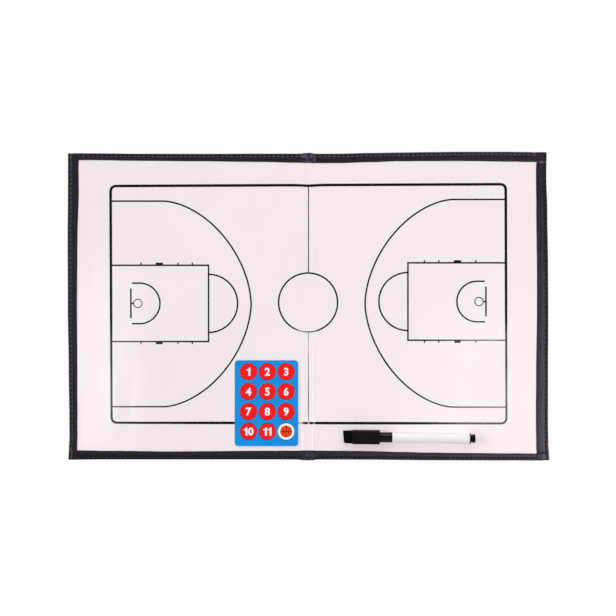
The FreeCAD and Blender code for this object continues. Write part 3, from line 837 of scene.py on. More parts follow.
def slab(xs, ys, low, high):
    """A closed sheet over a grid of places; low and high give the two faces' heights."""
    rows = len(xs)
    columns = len(ys)
    points = [(x, y, level(x, y)) for level in (high, low) for x in xs for y in ys]
    under = rows * columns
    faces = []
    for row in range(rows - 1):
        for column in range(columns - 1):
            first = row * columns + column
            ahead = first + columns
            faces.append((first, ahead, ahead + 1, first + 1))
            faces.append((under + first + 1, under + ahead + 1, under + ahead, under + first))
    rims = [(row * columns + column, columns) for row in range(rows - 1) for column in (0, columns - 1)]
    rims += [(row * columns + column, 1) for column in range(columns - 1) for row in (0, rows - 1)]
    faces.extend((first, first + step, under + first + step, under + first) for first, step in rims)
    return points, faces


def leaf_sheet(side, low, high, gap):
    """A sheet that fills a leaf between two heights, cut to the uneven border less a gap."""
    xs = steps(side * HALF_SPINE, side * SHEET_REACH[0], SHEET_PITCH)
    ys = steps(-SHEET_REACH[1], SHEET_REACH[1], SHEET_PITCH)
    points, faces = slab(xs, ys, low, high)
    cut = []
    for x, y, z in points:
        wide = along(SIDE_HEMS[side], y, 1) + HEM_GROWTH - gap
        deep = along(END_HEMS[1 if y > 0.0 else -1], x, 1) + HEM_GROWTH - gap
        cut.append((side * min(abs(x), wide), math.copysign(min(abs(y), deep), y), z))
    return cut, faces


class TACTICSBOARD_OT_leaf_layers(Operator):
    """Make each leaf's board and writing film, cut to its border, and finish the steel between them"""

    bl_idname = "tacticsboard.leaf_layers"
    bl_label = "Leaf layers"

    def execute(self, context):
        film = writing_film("wipe_clean_film", context.scene.board_print.film)
        layers = (
            ("core_board", "board_sheet", BOARD_GAP, dull_fibre("pressed_greyboard"), "greyboard"),
            ("film", "film_sheet", FILM_GAP, film, "writing_film"),
        )
        for side, name in LEAF_NAMES.items():
            finish_nodes(sheet_steel("sheet_steel", STEEL_COLOUR), "steel", f"{name}_steel_sheet")
            for node, label, gap, material, slot in layers:
                low, high = box_mm(f"{name}_{node}")
                shape = leaf_sheet(side, flat(low[2]), flat(high[2]), gap)
                make_piece(f"{name}_{label}", shape, material, f"{name}_leaf", f"{name}_{node}")
        return {"FINISHED"}


class TACTICSBOARD_OT_leaf_covers(Operator):
    """Make each leaf's back cover and its turned hems"""

    bl_idname = "tacticsboard.leaf_covers"
    bl_label = "Leaf covers"

    def execute(self, context):
        cover = context.scene.board_cover
        leather = leatherette("leatherette_cover", cover)
        for side, name in LEAF_NAMES.items():
            pieces = (
                ("cover_back", "cover", self.back_cover(side), None),
                ("side_turn", "side_hem", *self.side_hem(cover, side)),
                ("front_turn", "front_hem", *self.end_hem(cover, side, -1)),
                ("back_turn", "back_hem", *self.end_hem(cover, side, 1)),
            )
            body = f"{name}_leaf"
            for label, node, shape, masks in pieces:
                make_piece(f"{name}_{label}", shape, leather, body, f"{name}_{node}", masks)
        return {"FINISHED"}

    def back_cover(self, side):
        """The flat back of the cover, with a slight unevenness from the glue."""

        def glued(x, y):
            return BACK_UNEVEN * (1.0 + ripple(x, y, size=30.0, seed=3.0)) + BACK_LEVEL

        return leaf_sheet(side, glued, flat(BACK_SHEET), UNDER_LAP - COVER_LAP)

    def side_hem(self, cover, side):
        """The hem along the side edge, which overlaps the end hems at both corners."""
        low = -CORNER_ENDS[side, -1]
        high = CORNER_ENDS[side, 1]

        def lift_at(place):
            end = 1 if place > 0 else -1
            inner = CORNER_ENDS[side, end] - along(END_HEMS[end], side * CORNER_X, 2)
            return cover.corner_lift / MM * smooth((abs(place) - inner + LIFT_LENGTH) / LIFT_LENGTH)

        places = stitch_steps(cover, low, high, 2)
        places += [low + step for step in FOLD_STEPS] + [high - step for step in FOLD_STEPS]
        return hem_bar(cover, SIDE_HEMS[side], sorted(places), (side, 0), lift_at, rounded=(low, high))

    def end_hem(self, cover, side, end):
        """A hem along the front or back edge, tucked under the side hem."""
        outer = along(SIDE_HEMS[side], end * CORNER_Y, 1) + HEM_GROWTH
        reach = outer - END_SETBACK

        def tuck_at(place):
            return smooth((abs(place) - outer + UNDER_LAP) / TUCK_LENGTH)

        distances = [HALF_SPINE] + stitch_steps(cover, HALF_SPINE, reach, 1) + [reach]
        places = [side * distance for distance in distances]
        return hem_bar(cover, END_HEMS[end], places, (0, end), tuck_at=tuck_at, gathered=GATHER_PAINTED_HIGHLIGHT[end])


class TACTICSBOARD_OT_spine(Operator):
    """Make the soft spine: its cover, its gathered hems and the film across it"""

    bl_idname = "tacticsboard.spine"
    bl_label = "Soft spine"

    def execute(self, context):
        cover = context.scene.board_cover
        leather = (leatherette("leatherette_cover", cover), "leatherette")
        film = (writing_film("wipe_clean_film", context.scene.board_print.film), "writing_film")
        finish_nodes(dull_fibre("pressed_greyboard"), "greyboard", "spine_board")
        for side, name in LEAF_NAMES.items():
            columns = steps(side * HALF_SPINE, 0.0, SPINE_PITCH)
            pieces = (
                ("cover_back", "spine_cover", leather, self.cover_half(columns), None),
                ("front_turn", "spine_front_hem", leather, *self.hem_half(cover, columns, -1)),
                ("back_turn", "spine_back_hem", leather, *self.hem_half(cover, columns, 1)),
                ("film", "spine_film", film, self.film_half(columns), None),
            )
            for label, node, (material, slot), shape, masks in pieces:
                make_piece(f"spine_{name}_{label}", shape, material, side, node, masks)
        return {"FINISHED"}

    def cover_half(self, columns):
        """Half of the spine's outside."""
        reach = along(END_HEMS[-1], 0.0, 1) + HEM_GROWTH - UNDER_LAP + SPINE_COVER_LAP
        return slab(columns, steps(-reach, reach, SHEET_PITCH), flat(BACK_LEVEL), flat(BACK_SHEET))

    def hem_half(self, cover, columns, end):
        """Half of a gathered hem at the spine's end."""
        return hem_bar(cover, END_HEMS[end], columns, (0, end), gathered=GATHER_PAINTED_HIGHLIGHT[end])

    def film_half(self, columns):
        """Half of the film over the spine, with its soft crease."""
        low, high = box_mm("spine_film")
        thickness = high[2] - low[2]
        ys = steps(low[1] + FILM_GAP, high[1] - FILM_GAP, SPINE_FILM_PITCH)
        return slab(columns, ys, lambda x, y: film_level(x, y) - thickness, film_level)


# The rows of stitches, in mm, and the shape of one stitch, mostly in shares of the thread's width
SIDE_ROW_END = 139.0
CORNER_GAP = 1.0
SLOPE_REACH = 2.0
BACK_ROW_LEVEL = 0.10
THREAD_RINGS = 8
THREAD_SIDES = 8
THREAD_TWIST = 2.2
THREAD_RISE = 0.30
THREAD_DIP = 0.85
THREAD_PLY = 0.10
THREAD_TAPER = 0.35
THREAD_FLATNESS = 0.8


def thread_stitch(start, heading, outward, level, facing, length, width):
    """One stitch: a short twisted thread that dips into its two needle holes."""
    rings = []
    for step in range(THREAD_RINGS + 1):
        share = step / THREAD_RINGS
        from_middle = 2.0 * share - 1.0
        rise = (THREAD_RISE - THREAD_DIP * from_middle ** 4) * width
        centre = start + heading * (length * (share - 0.5))
        ring = []
        for corner in range(THREAD_SIDES):
            angle = 2.0 * math.pi * corner / THREAD_SIDES + THREAD_TWIST * share
            swell = 1.0 + THREAD_PLY * math.cos(2.0 * angle)
            reach = 0.5 * width * swell * (1.0 - THREAD_TAPER * from_middle ** 6)
            spot = centre + outward * (reach * math.cos(angle))
            height = rise + THREAD_FLATNESS * reach * math.sin(angle)
            ring.append((spot.x, spot.y, level + facing * height))
        rings.append(ring)
    return swept(rings)


class TACTICSBOARD_OT_stitching(Operator):
    """Sew the row of stitches round the border, on the front and on the back"""

    bl_idname = "tacticsboard.stitching"
    bl_label = "Stitching"

    def execute(self, context):
        cover = context.scene.board_cover
        pitch = cover.stitch_pitch / MM
        first = math.ceil((HALF_SPINE + 0.5 * cover.stitch_length / MM) / pitch)
        side_end = math.floor(SIDE_ROW_END / pitch)
        for side, name in LEAF_NAMES.items():
            rows = [(SIDE_HEMS[side], (side, 0), range(-side_end, side_end + 1))]
            for end, table in END_HEMS.items():
                corner, width = (along(SIDE_HEMS[side], end * CORNER_Y, column) for column in (1, 2))
                last = math.floor((corner - width - CORNER_GAP) / pitch)
                rows.append((table, (0, end), [side * index for index in range(first, last + 1)]))
            self.sew(cover, f"{name}_leaf_stitches", rows, f"{name}_leaf")
        # Only one stitch at each end sits on the stiff middle of the spine.
        rows = [(table, (0, end), [0]) for end, table in END_HEMS.items()]
        self.sew(cover, "spine_stitches", rows, "spine")
        return {"FINISHED"}

    def sew(self, cover, name, rows, body):
        """Rows of stitches, each given by its border, the way it faces and its stitches' numbers."""
        length = cover.stitch_length / MM
        width = cover.thread_width / MM
        inset = cover.stitch_inset / MM
        faces = ((FACE + HEM_THICKNESS - SEWN_DROP, 1.0), (BACK_ROW_LEVEL, -1.0))
        shapes = []
        for table, facing, numbers in rows:
            outward = Vector((*facing, 0.0))
            for number in numbers:
                place = number * cover.stitch_pitch / MM
                before, after = (along(table, place + away, 1) for away in (-SLOPE_REACH, SLOPE_REACH))
                slope = abs(facing[0]) * (after - before) / (2.0 * SLOPE_REACH)
                heading = Vector((*edge_point(facing, 1.0, slope), 0.0))
                spot = Vector((*edge_point(facing, place, along(table, place, 1) - inset), 0.0))
                for level, side in faces:
                    shapes.append(thread_stitch(spot, heading, outward, level, side, length, width))
        thread = soft_nap("sewing_thread", cover.thread)
        make_piece(name, joined(shapes), thread, body, sharp=80.0)


# Court print, in mm from the middle of the board. Each half has its own printed offsets.
# KEY_Y is (middle, half width), ARC_LINES (back, front), NO_CHARGE (centre, radius, end), BACKBOARD
# (place, half length), RIM (place, radius), and each row of KEY_MARKS (place, width, length).
COURT_CORNERS = ((-194.0, 118.4), (193.5, 120.2), (194.2, -114.4), (-193.0, -113.7))
COURT_EDGE = 193.4
CORNER_RADIUS = 6.0
BORDER_SAG = 0.6
SAG_WIDTH = 8.0
CENTRE = (-0.3, 4.2)
KEY_REACH = {-1: 97.9, 1: 97.6}
KEY_Y = {-1: (3.3, 37.4), 1: (5.15, 37.95)}
ARC_LINES = {-1: (103.6, -98.0), 1: (105.3, -98.4)}
ARC_CENTRE = 142.7
ARC_APEX = {-1: 56.2, 1: 55.6}
ARC_FULLNESS = 1.755
NO_CHARGE = (165.5, 19.9, 173.0)
BACKBOARD = (174.1, 14.6)
RIM = (167.3, 4.1)
RIM_STEM = 1.6
KEY_MARKS = ((164.2, 1.4, 2.6), (146.2, 7.3, 2.6), (127.9, 1.4, 2.6), (113.8, 1.4, 2.6))
# Ink stands a little over its surface, sinks a little into it, and crosses other ink on higher layers.
INK_HEIGHT = 0.022
INK_SINK = 0.02
LAYER_STEP = 0.003
CENTRE_LINE_RISE = 0.002
# Worn patches: (x, y, half width, half depth, strength)
WORN_PATCHES = (
    (-196.0, -84.0, 22.0, 42.0, 0.50), (-150.0, -112.0, 34.0, 26.0, 0.28), (200.0, -88.0, 38.0, 44.0, 0.53),
    (150.0, -84.0, 40.0, 30.0, 0.36), (-8.2, -113.0, 3.4, 14.0, 0.90), (0.2, -114.0, 0.9, 6.0, 0.75),
    (5.6, -114.0, 1.0, 6.0, 0.75), (0.0, -39.0, 3.0, 14.0, 0.80), (0.0, -64.0, 3.0, 14.0, 0.56),
    (0.0, -98.0, 3.0, 26.0, 0.38), (-7.0, -24.0, 5.5, 6.0, 0.68), (5.5, -24.0, 3.0, 6.0, 0.48),
    (172.0, -33.0, 34.0, 15.0, 0.52), (-168.0, -33.0, 34.0, 13.0, 0.32), (150.0, -117.0, 40.0, 9.0, 0.36),
)
WEAR_FALL = 0.7
WEAR_UNEVEN = 0.05
WEAR_MOST = 0.95
FADE_CURVE = 3.5
THINNING = 0.42


def worn_ink(x, y):
    """How far the ink is worn at a place, from 0 to 1."""
    left = 1.0
    for patch_x, patch_y, half_width, half_depth, strength in WORN_PATCHES:
        away = ((x - patch_x) / half_width) ** 2 + ((y - patch_y) / half_depth) ** 2
        left *= 1.0 - strength * math.exp(-WEAR_FALL * away)
    return min(WEAR_MOST, max(0.0, 1.0 - left + WEAR_UNEVEN * ripple(x, y, size=6.0, seed=9.0)))


def on_circle(centre, radius, angle):
    """The point on a circle at an angle in degrees."""
    turn = math.radians(angle)
    return centre[0] + radius * math.cos(turn), centre[1] + radius * math.sin(turn)


def arc(centre, radius, start, stop, pitch=1.2):
    """Points on a circle's arc; angles in degrees."""
    sweep = abs(stop - start)
    angles = steps(start, stop, sweep * pitch / (math.radians(sweep) * radius))
    return [on_circle(centre, radius, angle) for angle in angles]


def disc_shape(centre, count, rings):
    """A closed round piece from rings of (radius, height)."""
    angles = [360.0 * index / count for index in range(count)]
    bands = []
    for radius, height in rings:
        bands.append([(*on_circle(centre, radius, angle), height) for angle in angles])
    return swept(bands)


def between(before, after, share):
    """The point at a share of the way between two points."""
    return tuple(a + (b - a) * share for a, b in zip(before, after))


def line(*corners, pitch=1.2):
    """Points along straight runs from corner to corner."""
    points = [corners[0]]
    for before, after in zip(corners, corners[1:]):
        shares = steps(0.0, 1.0, pitch / max(math.dist(before, after), pitch))
        points.extend(between(before, after, share) for share in shares[1:])
    return points


def clipped(points, low, high):
    """Runs of a line that lie between two x places, cut exactly there."""
    runs = []
    run = []
    for before, after in zip(points, points[1:]):
        cuts = [0.0, 1.0]
        for limit in (low, high):
            if (before[0] - limit) * (after[0] - limit) < 0:
                cuts.append((limit - before[0]) / (after[0] - before[0]))
        cuts.sort()
        for shares in zip(cuts, cuts[1:]):
            ends = [between(before, after, share) for share in shares]
            if low <= 0.5 * (ends[0][0] + ends[1][0]) <= high:
                run = run + [ends[1]] if run else ends
            elif run:
                runs.append(run)
                run = []
    return runs + [run] if run else runs


def ribbon(points, width, height, level, worn=nowhere):
    """A printed line: a thin closed strip of ink on a surface given by level, narrower where worn."""
    rings = []
    for index, (x, y) in enumerate(points):
        before = points[max(0, index - 1)]
        after = points[min(len(points) - 1, index + 1)]
        heading = Vector((after[0] - before[0], after[1] - before[1])).normalized()
        across = Vector((-heading.y, heading.x)) * (0.5 * width * (1.0 - THINNING * worn(x, y)))
        if 0 < index < len(points) - 1:
            leg = Vector((x - before[0], y - before[1])).normalized()
            across /= max(0.5, leg.dot(heading))
        left = (x + across.x, y + across.y)
        right = (x - across.x, y - across.y)
        rings.append([
            (*left, level(*left) + height), (*right, level(*right) + height),
            (*right, level(*right) - INK_SINK), (*left, level(*left) - INK_SINK),
        ])
    return swept(rings)


class TACTICSBOARD_OT_court_print(Operator):
    """Print the court on the writing film, split where the board folds"""

    bl_idname = "tacticsboard.court_print"
    bl_label = "Court print"

    def execute(self, context):
        settings = context.scene.board_print
        reach = SHEET_REACH[0]
        zones = (
            ("left_court_print", -reach, -HALF_SPINE, self.half_court(settings, -1), "left_leaf"),
            ("right_court_print", HALF_SPINE, reach, self.half_court(settings, 1), "right_leaf"),
            ("spine_left_print", -HALF_SPINE, 0.0, [], -1),
            ("spine_right_print", 0.0, HALF_SPINE, [], 1),
        )
        for name, low, high, own_lines, body in zones:
            shapes = []
            for points, width, layer in self.shared_lines(settings) + own_lines:
                height = INK_HEIGHT + LAYER_STEP * layer
                runs = clipped(points, low, high)
                shapes.extend(ribbon(run, width, height, film_level, worn_ink) for run in runs)
            self.print_lines(settings, name, shapes, body)
        self.print_lines(settings, "spine_centre_line", self.centre_line(settings), "spine")
        return {"FINISHED"}

    def print_lines(self, settings, name, shapes, body):
        """One piece of print, with its wear."""
        shape = joined(shapes)
        wear = {"faded": [worn_ink(x, y) ** FADE_CURVE for x, y, z in shape[0]]}
        ink = court_ink("court_ink", settings.ink, settings.film)
        make_piece(name, shape, ink, body, masks=wear)

    def shared_lines(self, settings):
        """Lines that cross the spine: the border and the centre circle."""
        border = []
        for index, corner in enumerate(COURT_CORNERS):
            before = Vector(COURT_CORNERS[index - 1])
            after = Vector(COURT_CORNERS[(index + 1) % len(COURT_CORNERS)])
            place = Vector(corner)
            start = place + (before - place).normalized() * CORNER_RADIUS
            stop = place + (after - place).normalized() * CORNER_RADIUS
            for share in steps(0.0, 1.0, 0.1):
                border.append(tuple(start.lerp(place, share).lerp(place.lerp(stop, share), share)))
        around = []
        for x, y in line(*border, border[0], pitch=0.5):
            around.append((x, y - BORDER_SAG * (y > 0.0) * math.exp(-((x / SAG_WIDTH) ** 2))))
        circle = arc(CENTRE, settings.centre_radius / MM, 0.0, 360.0, pitch=0.4)
        return [(around, settings.border_line / MM, 2), (circle, settings.thin_line / MM, 0)]

    def centre_line(self, settings):
        """The centre line, outside the centre circle."""
        radius = settings.centre_radius / MM
        width = settings.fine_line / MM
        top = 0.5 * (COURT_CORNERS[0][1] + COURT_CORNERS[1][1])
        bottom = 0.5 * (COURT_CORNERS[2][1] + COURT_CORNERS[3][1])
        runs = (((0.0, top), (0.0, CENTRE[1] + radius)), ((0.0, CENTRE[1] - radius), (0.0, bottom)))
        height = INK_HEIGHT + CENTRE_LINE_RISE
        return [ribbon(line(*run), width, height, film_level, worn_ink) for run in runs]

    def half_court(self, settings, side):
        """Everything printed on one leaf, as (points, width, layer)."""
        thin = settings.thin_line / MM
        middle, half = KEY_Y[side]
        edge = side * COURT_EDGE
        reach = side * KEY_REACH[side]
        facing = 180.0 if side > 0 else 0.0
        top, bottom = ARC_LINES[side]
        arc_x = side * ARC_CENTRE
        three_point = (
            line((edge, top), (arc_x, top))
            + self.three_point_bend(side, top, bottom)[1:]
            + line((arc_x, bottom), (edge, bottom))[1:])
        charge_x, charge_radius, charge_end = NO_CHARGE
        charge_x *= side
        charge_end *= side
        charge_top = middle + charge_radius
        charge_bottom = middle - charge_radius
        charge = (
            line((charge_end, charge_top), (charge_x, charge_top))
            + arc((charge_x, middle), charge_radius, 90.0, 90.0 + side * 180.0)[1:]
            + line((charge_x, charge_bottom), (charge_end, charge_bottom))[1:])
        board_x, board_half = BACKBOARD
        board_x *= side
        rim_x, rim_radius = RIM
        rim = arc((side * rim_x, middle), rim_radius, 0.0, 360.0, pitch=0.5)
        lines = [
            (line((edge, middle + half), (reach, middle + half)), thin, 0),
            (line((reach, middle + half + 0.5 * thin), (reach, middle - half - 0.5 * thin)), thin, 1),
            (line((reach, middle - half), (edge, middle - half)), thin, 0),
            (arc((reach, middle), settings.throw_radius / MM, facing - 90.0, facing + 90.0), thin, 0),
            (three_point, thin, 0),
            (charge, thin, 0),
            (line((board_x, middle - board_half), (board_x, middle + board_half)), thin, 0),
            (rim, settings.fine_line / MM, 0),
            (line((board_x, middle), (side * (rim_x + rim_radius), middle)), RIM_STEM, 1),
        ]
        for mark_x, mark_width, mark_height in KEY_MARKS:
            for away in (-1, 1):
                foot = middle + away * half
                tip = foot + away * mark_height
                lines.append((line((side * mark_x, foot), (side * mark_x, tip)), mark_width, 1))
        return lines

    def three_point_bend(self, side, top, bottom):
        """The bend of the three-point line, a little fuller at its apex than a circle."""
        power = 2.0 / ARC_FULLNESS
        points = []
        for angle in steps(90.0, -90.0, 0.6):
            turn = math.radians(angle)
            reach = max(0.0, math.cos(turn)) ** power * (ARC_CENTRE - ARC_APEX[side])
            rise = math.copysign(abs(math.sin(turn)) ** power, turn) * 0.5 * (top - bottom)
            points.append((side * (ARC_CENTRE - reach), 0.5 * (top + bottom) + rise))
        return points


class TACTICSBOARD_OT_magnet_card(Operator):
    """Finish the die-cut magnet card"""

    bl_idname = "tacticsboard.magnet_card"
    bl_label = "Magnet card"

    def execute(self, context):
        settings = context.scene.board_magnets
        finish_nodes(smooth_skin("card_vinyl", settings.card), "blue_vinyl", "card_print")
        finish_nodes(dull_fibre("filled_rubber"), "magnet_rubber", "card_rubber")
        return {"FINISHED"}


# The disc's rim: (distance in from the rubber's edge in mm, share of the face's thickness)
DISC_RIM = ((0.50, 0.0), (0.44, 0.3), (0.46, 0.6), (0.58, 0.88), (0.78, 0.98), (1.10, 1.0))
DISC_CORNERS = 72
# The figure 1 and the gap between two figures, with the figures' height as the unit
FIGURE_ONE = (
    (0.225, 0.0), (0.475, 0.0), (0.475, 1.0), (0.315, 1.0), (0.255, 0.90), (0.155, 0.83), (0.0, 0.79),
    (0.0, 0.61), (0.130, 0.64), (0.225, 0.70))
DIGIT_GAP = 0.09
DIGIT_BOLDNESS = 0.030
DIGIT_CURVE_STEPS = 4
DIGIT_JOIN = 0.0001
# The printed ball: its turn in degrees, its seams' width and steps of height in mm, and their bends
BALL_CORNERS = 64
BALL_TURN = -4.0
SEAM_WIDTH = 0.55
SEAM_STEP = 0.001
SEAM_REACH = 0.98
SEAM_CENTRE = 1.36
SEAM_RADIUS = 0.95
SEAM_SWING = 44.0


class TACTICSBOARD_OT_magnets(Operator):
    """Finish the round magnets and print their numbers and the ball"""

    bl_idname = "tacticsboard.magnets"
    bl_label = "Round magnets"

    def execute(self, context):
        settings = context.scene.board_magnets
        for name in MAGNET_NAMES:
            finish_nodes(dull_fibre("filled_rubber"), "magnet_rubber", f"{name}_rubber")
            low, high = box_mm(f"{name}_face")
            centre = (0.5 * (low[0] + high[0]), 0.5 * (low[1] + high[1]))
            if name == "magnet_ball":
                vinyl = smooth_skin("ball_disc_vinyl", settings.ball_disc)
                self.ball_print(settings, centre, high[2])
            else:
                vinyl = smooth_skin("disc_vinyl", settings.disc)
                self.number_print(settings, name, centre, high[2])
            # The face rolls over at the die-cut rim, so that a little dark rubber shows round it.
            radius = 0.5 * (high[0] - low[0])
            rim = [(radius - inward, low[2] + (high[2] - low[2]) * share) for inward, share in DISC_RIM]
            face = disc_shape(centre, DISC_CORNERS, rim)
            make_piece(f"{name}_vinyl", face, vinyl, name, f"{name}_face")
        return {"FINISHED"}

    def number_print(self, settings, name, centre, level):
        """A bold printed number, centred on its disc."""
        height = settings.number_height / MM
        shapes = []
        across = 0.0
        for digit in name.split("_")[1]:
            points, faces = self.one() if digit == "1" else self.font_digit(digit)
            shapes.append(([(across + x, y, z) for x, y, z in points], faces))
            across += max(point[0] for point in points) + DIGIT_GAP
        points, faces = joined(shapes)
        middle = 0.5 * (across - DIGIT_GAP)
        placed = []
        for x, y, z in points:
            rise = INK_HEIGHT if z > 0.0 else -INK_SINK
            placed.append((centre[0] + (x - middle) * height, centre[1] + (y - 0.5) * height, level + rise))
        ink = smooth_skin("number_ink", settings.number)
        make_piece(f"{name}_number", (placed, faces), ink, name)

    def one(self):
        """The figure 1, a stem with a slanted flag, one unit high."""
        return swept([[(x, y, height) for x, y in FIGURE_ONE] for height in (-0.5, 0.5)])

    def font_digit(self, digit):
        """Any other figure from the built-in font, made bold, one unit high."""
        curve = bpy.data.curves.new("figure", "FONT")
        curve.body = digit
        curve.offset = DIGIT_BOLDNESS
        curve.resolution_u = DIGIT_CURVE_STEPS
        curve.extrude = 0.5
        outline = bpy.data.objects.new("figure", curve)
        bpy.context.scene.collection.objects.link(outline)
        mesh = bpy.data.meshes.new_from_object(outline.evaluated_get(bpy.context.evaluated_depsgraph_get()))
        bpy.data.objects.remove(outline)
        shape = bmesh.new()
        shape.from_mesh(mesh)
        bmesh.ops.remove_doubles(shape, verts=shape.verts, dist=DIGIT_JOIN)
        shape.verts.index_update()
        corners = [vertex.co.copy() for vertex in shape.verts]
        faces = [tuple(vertex.index for vertex in face.verts) for face in shape.faces]
        shape.free()
        bpy.data.meshes.remove(mesh)
        left = min(corner.x for corner in corners)
        foot = min(corner.y for corner in corners)
        tall = max(corner.y for corner in corners) - foot
        return [((corner.x - left) / tall, (corner.y - foot) / tall, corner.z) for corner in corners], faces

    def ball_print(self, settings, centre, level):
        """A plain printed ball with its seams."""
        radius = 0.5 * settings.ball_diameter / MM
        top = level + INK_HEIGHT
        ball = disc_shape(centre, BALL_CORNERS, ((radius, level - INK_SINK), (radius, top)))
        ink = smooth_skin("ball_ink", settings.ball)
        make_piece("magnet_ball_print", ball, ink, "magnet_ball")
        seams = []
        for layer, angle in enumerate((BALL_TURN, BALL_TURN + 90.0)):
            ends = [on_circle(centre, SEAM_REACH * radius, turn) for turn in (angle, angle + 180.0)]
            seams.append(ribbon(line(*ends), SEAM_WIDTH, INK_HEIGHT + SEAM_STEP * layer, flat(top)))
        for angle in (BALL_TURN, BALL_TURN + 180.0):
            away = on_circle(centre, SEAM_CENTRE * radius, angle)
            swing = (angle + 180.0 - SEAM_SWING, angle + 180.0 + SEAM_SWING)
            bend = arc(away, SEAM_RADIUS * radius, *swing, pitch=0.5)
            seams.append(ribbon(bend, SEAM_WIDTH, INK_HEIGHT + 2.0 * SEAM_STEP, flat(top)))
        ink = smooth_skin("seam_ink", settings.seam)
        make_piece("magnet_ball_seams", joined(seams), ink, "magnet_ball")


# The eraser: its rings as shares of its length, its cut, its soft ends and its fuzz (scale, weight), in mm
FELT_MIDDLE = [0.14 + 0.04 * index for index in range(19)]
FELT_RINGS = [0.0, 0.0, 0.02, 0.05, 0.09, *FELT_MIDDLE, 0.91, 0.95, 0.98, 1.0, 1.0]
FELT_SLANT = 0.65
FELT_CORNERS = 64
FELT_ROUNDING = 0.42
FELT_GAP = 0.1
FELT_TAPER = 0.06
FELT_END = 0.80
FELT_EDGE = 0.6
FELT_EDGE_DRAW = 0.06
FELT_FUZZ = ((1.9, 1.0), (4.3, 0.6))
NAP_LEVEL = 0.9
NAP_SPREAD = 0.7


def blunt(value):
    """A sine or cosine eased towards its extremes, which turns a circle into a rounded square."""
    return math.copysign(abs(value) ** FELT_ROUNDING, value)


class TACTICSBOARD_OT_marker_pen(Operator):
    """Finish the marker pen and shape its felt eraser"""

    bl_idname = "tacticsboard.marker_pen"
    bl_label = "Marker pen"

    def execute(self, context):
        settings = context.scene.board_pen
        barrel = smooth_skin("barrel_plastic", settings.barrel)
        finish_nodes(barrel, "white_plastic", "pen_barrel", "pen_nose")
        finish_nodes(two_gloss_cap("cap_plastic", settings.cap), "black_plastic", "pen_cap")
        finish_nodes(smooth_skin("plug_plastic", settings.plug), "black_plastic", "pen_tail_plug")
        finish_nodes(dull_fibre("fibre_bundle"), "nib_fibre", "pen_nib")
        finish_nodes(dull_fibre("ink_wadding"), "ink_felt", "pen_ink_core")
        felt = soft_nap("eraser_felt", settings.felt)
        block = self.felt_block(settings.felt_nap / MM)
        make_piece("pen_felt_eraser", block, felt, "pen_cap", "pen_eraser", sharp=70.0)
        return {"FINISHED"}

    def felt_block(self, nap):
        """The eraser: a pressed felt block with soft edges and a napped surface."""
        low, high = (Vector(corner) for corner in box_mm("pen_eraser"))
        pull = next(joint for joint in frame["joints"] if joint["name"] == "cap_pull")
        heading = -Vector(pull["axis"]).normalized()
        across = Vector((-heading.y, heading.x, 0.0))
        middle = 0.5 * (low + high)
        length = (high.x - low.x) * abs(heading.x)
        half_width = 0.5 * (high.y - low.y) - FELT_GAP
        half_height = 0.5 * (high.z - low.z)
        rings = []
        for index, share in enumerate(FELT_RINGS):
            from_end = min(share, 1.0 - share) * length
            soft = 1.0 - FELT_EDGE_DRAW * max(0.0, 1.0 - from_end / FELT_EDGE) ** 2
            if index in (0, len(FELT_RINGS) - 1):
                soft = FELT_END
            taper = 1.0 - FELT_TAPER * (1.0 - share)
            ring = []
            for corner in range(FELT_CORNERS):
                angle = 2.0 * math.pi * corner / FELT_CORNERS
                wide = blunt(math.cos(angle)) * half_width * taper * soft
                tall = Vector((0.0, 0.0, blunt(math.sin(angle)) * half_height * soft))
                slant = FELT_SLANT * (1.0 - share) * wide / half_width
                spot = middle + heading * ((share - 0.5) * length - slant) + across * wide + tall
                fuzz = sum(weight * noise.noise(spot * scale) for scale, weight in FELT_FUZZ)
                inward = -tall - across * wide
                spot += inward.normalized() * (nap * (NAP_LEVEL + NAP_SPREAD * fuzz))
                ring.append(tuple(spot))
            rings.append(ring)
        return swept(rings)


# Soft lamps in metres: (name, share of the lamp power, place, size, casts shadows, shows in glossy things)
SOFT_LAMPS = (
    ("back_lamp", 0.55, (0.3, 2.4, 1.85), (2.6, 1.8), True, True),
    ("back_fill", 0.71, (0.3, 2.4, 1.85), (2.6, 1.8), False, True),
    ("left_lamp", 0.55, (-2.5, 0.4, 1.85), (2.2, 1.8), True, True),
    ("left_fill", 0.22, (-2.5, 0.4, 1.85), (2.2, 1.8), False, True),
    ("front_fill", 0.20, (-0.2, -2.4, 1.85), (2.4, 1.6), False, False),
    ("corner_fill", 0.157, (0.80, -0.50, 1.35), (0.70, 0.70), False, True),
)
# Panels that shine in the film, flat overhead: (share of the glare power, place, size)
GLARE_PANELS = (
    (1.0, (0.365, -0.150, 1.4), (0.27, 0.26)),
    (1.10, (-0.404, -0.100, 1.4), (0.08, 0.34)),
)
STUDIO_REACH = 9.0
WALL_HEIGHT = 5.0
FLOOR_LEVEL = -0.0006
WHITE = (1.0, 1.0, 1.0, 1.0)
SKY = (1.0, 0.995, 1.0, 1.0)
# How white the floor looks beside the board and far from it, at two distances in metres
FLOOR_SHOWN = (0.4, 2.0, 0.88, 1.0)
CAMERA_PLACE = (-0.0004, -0.0012)
SENSOR_WIDTH = 36.0


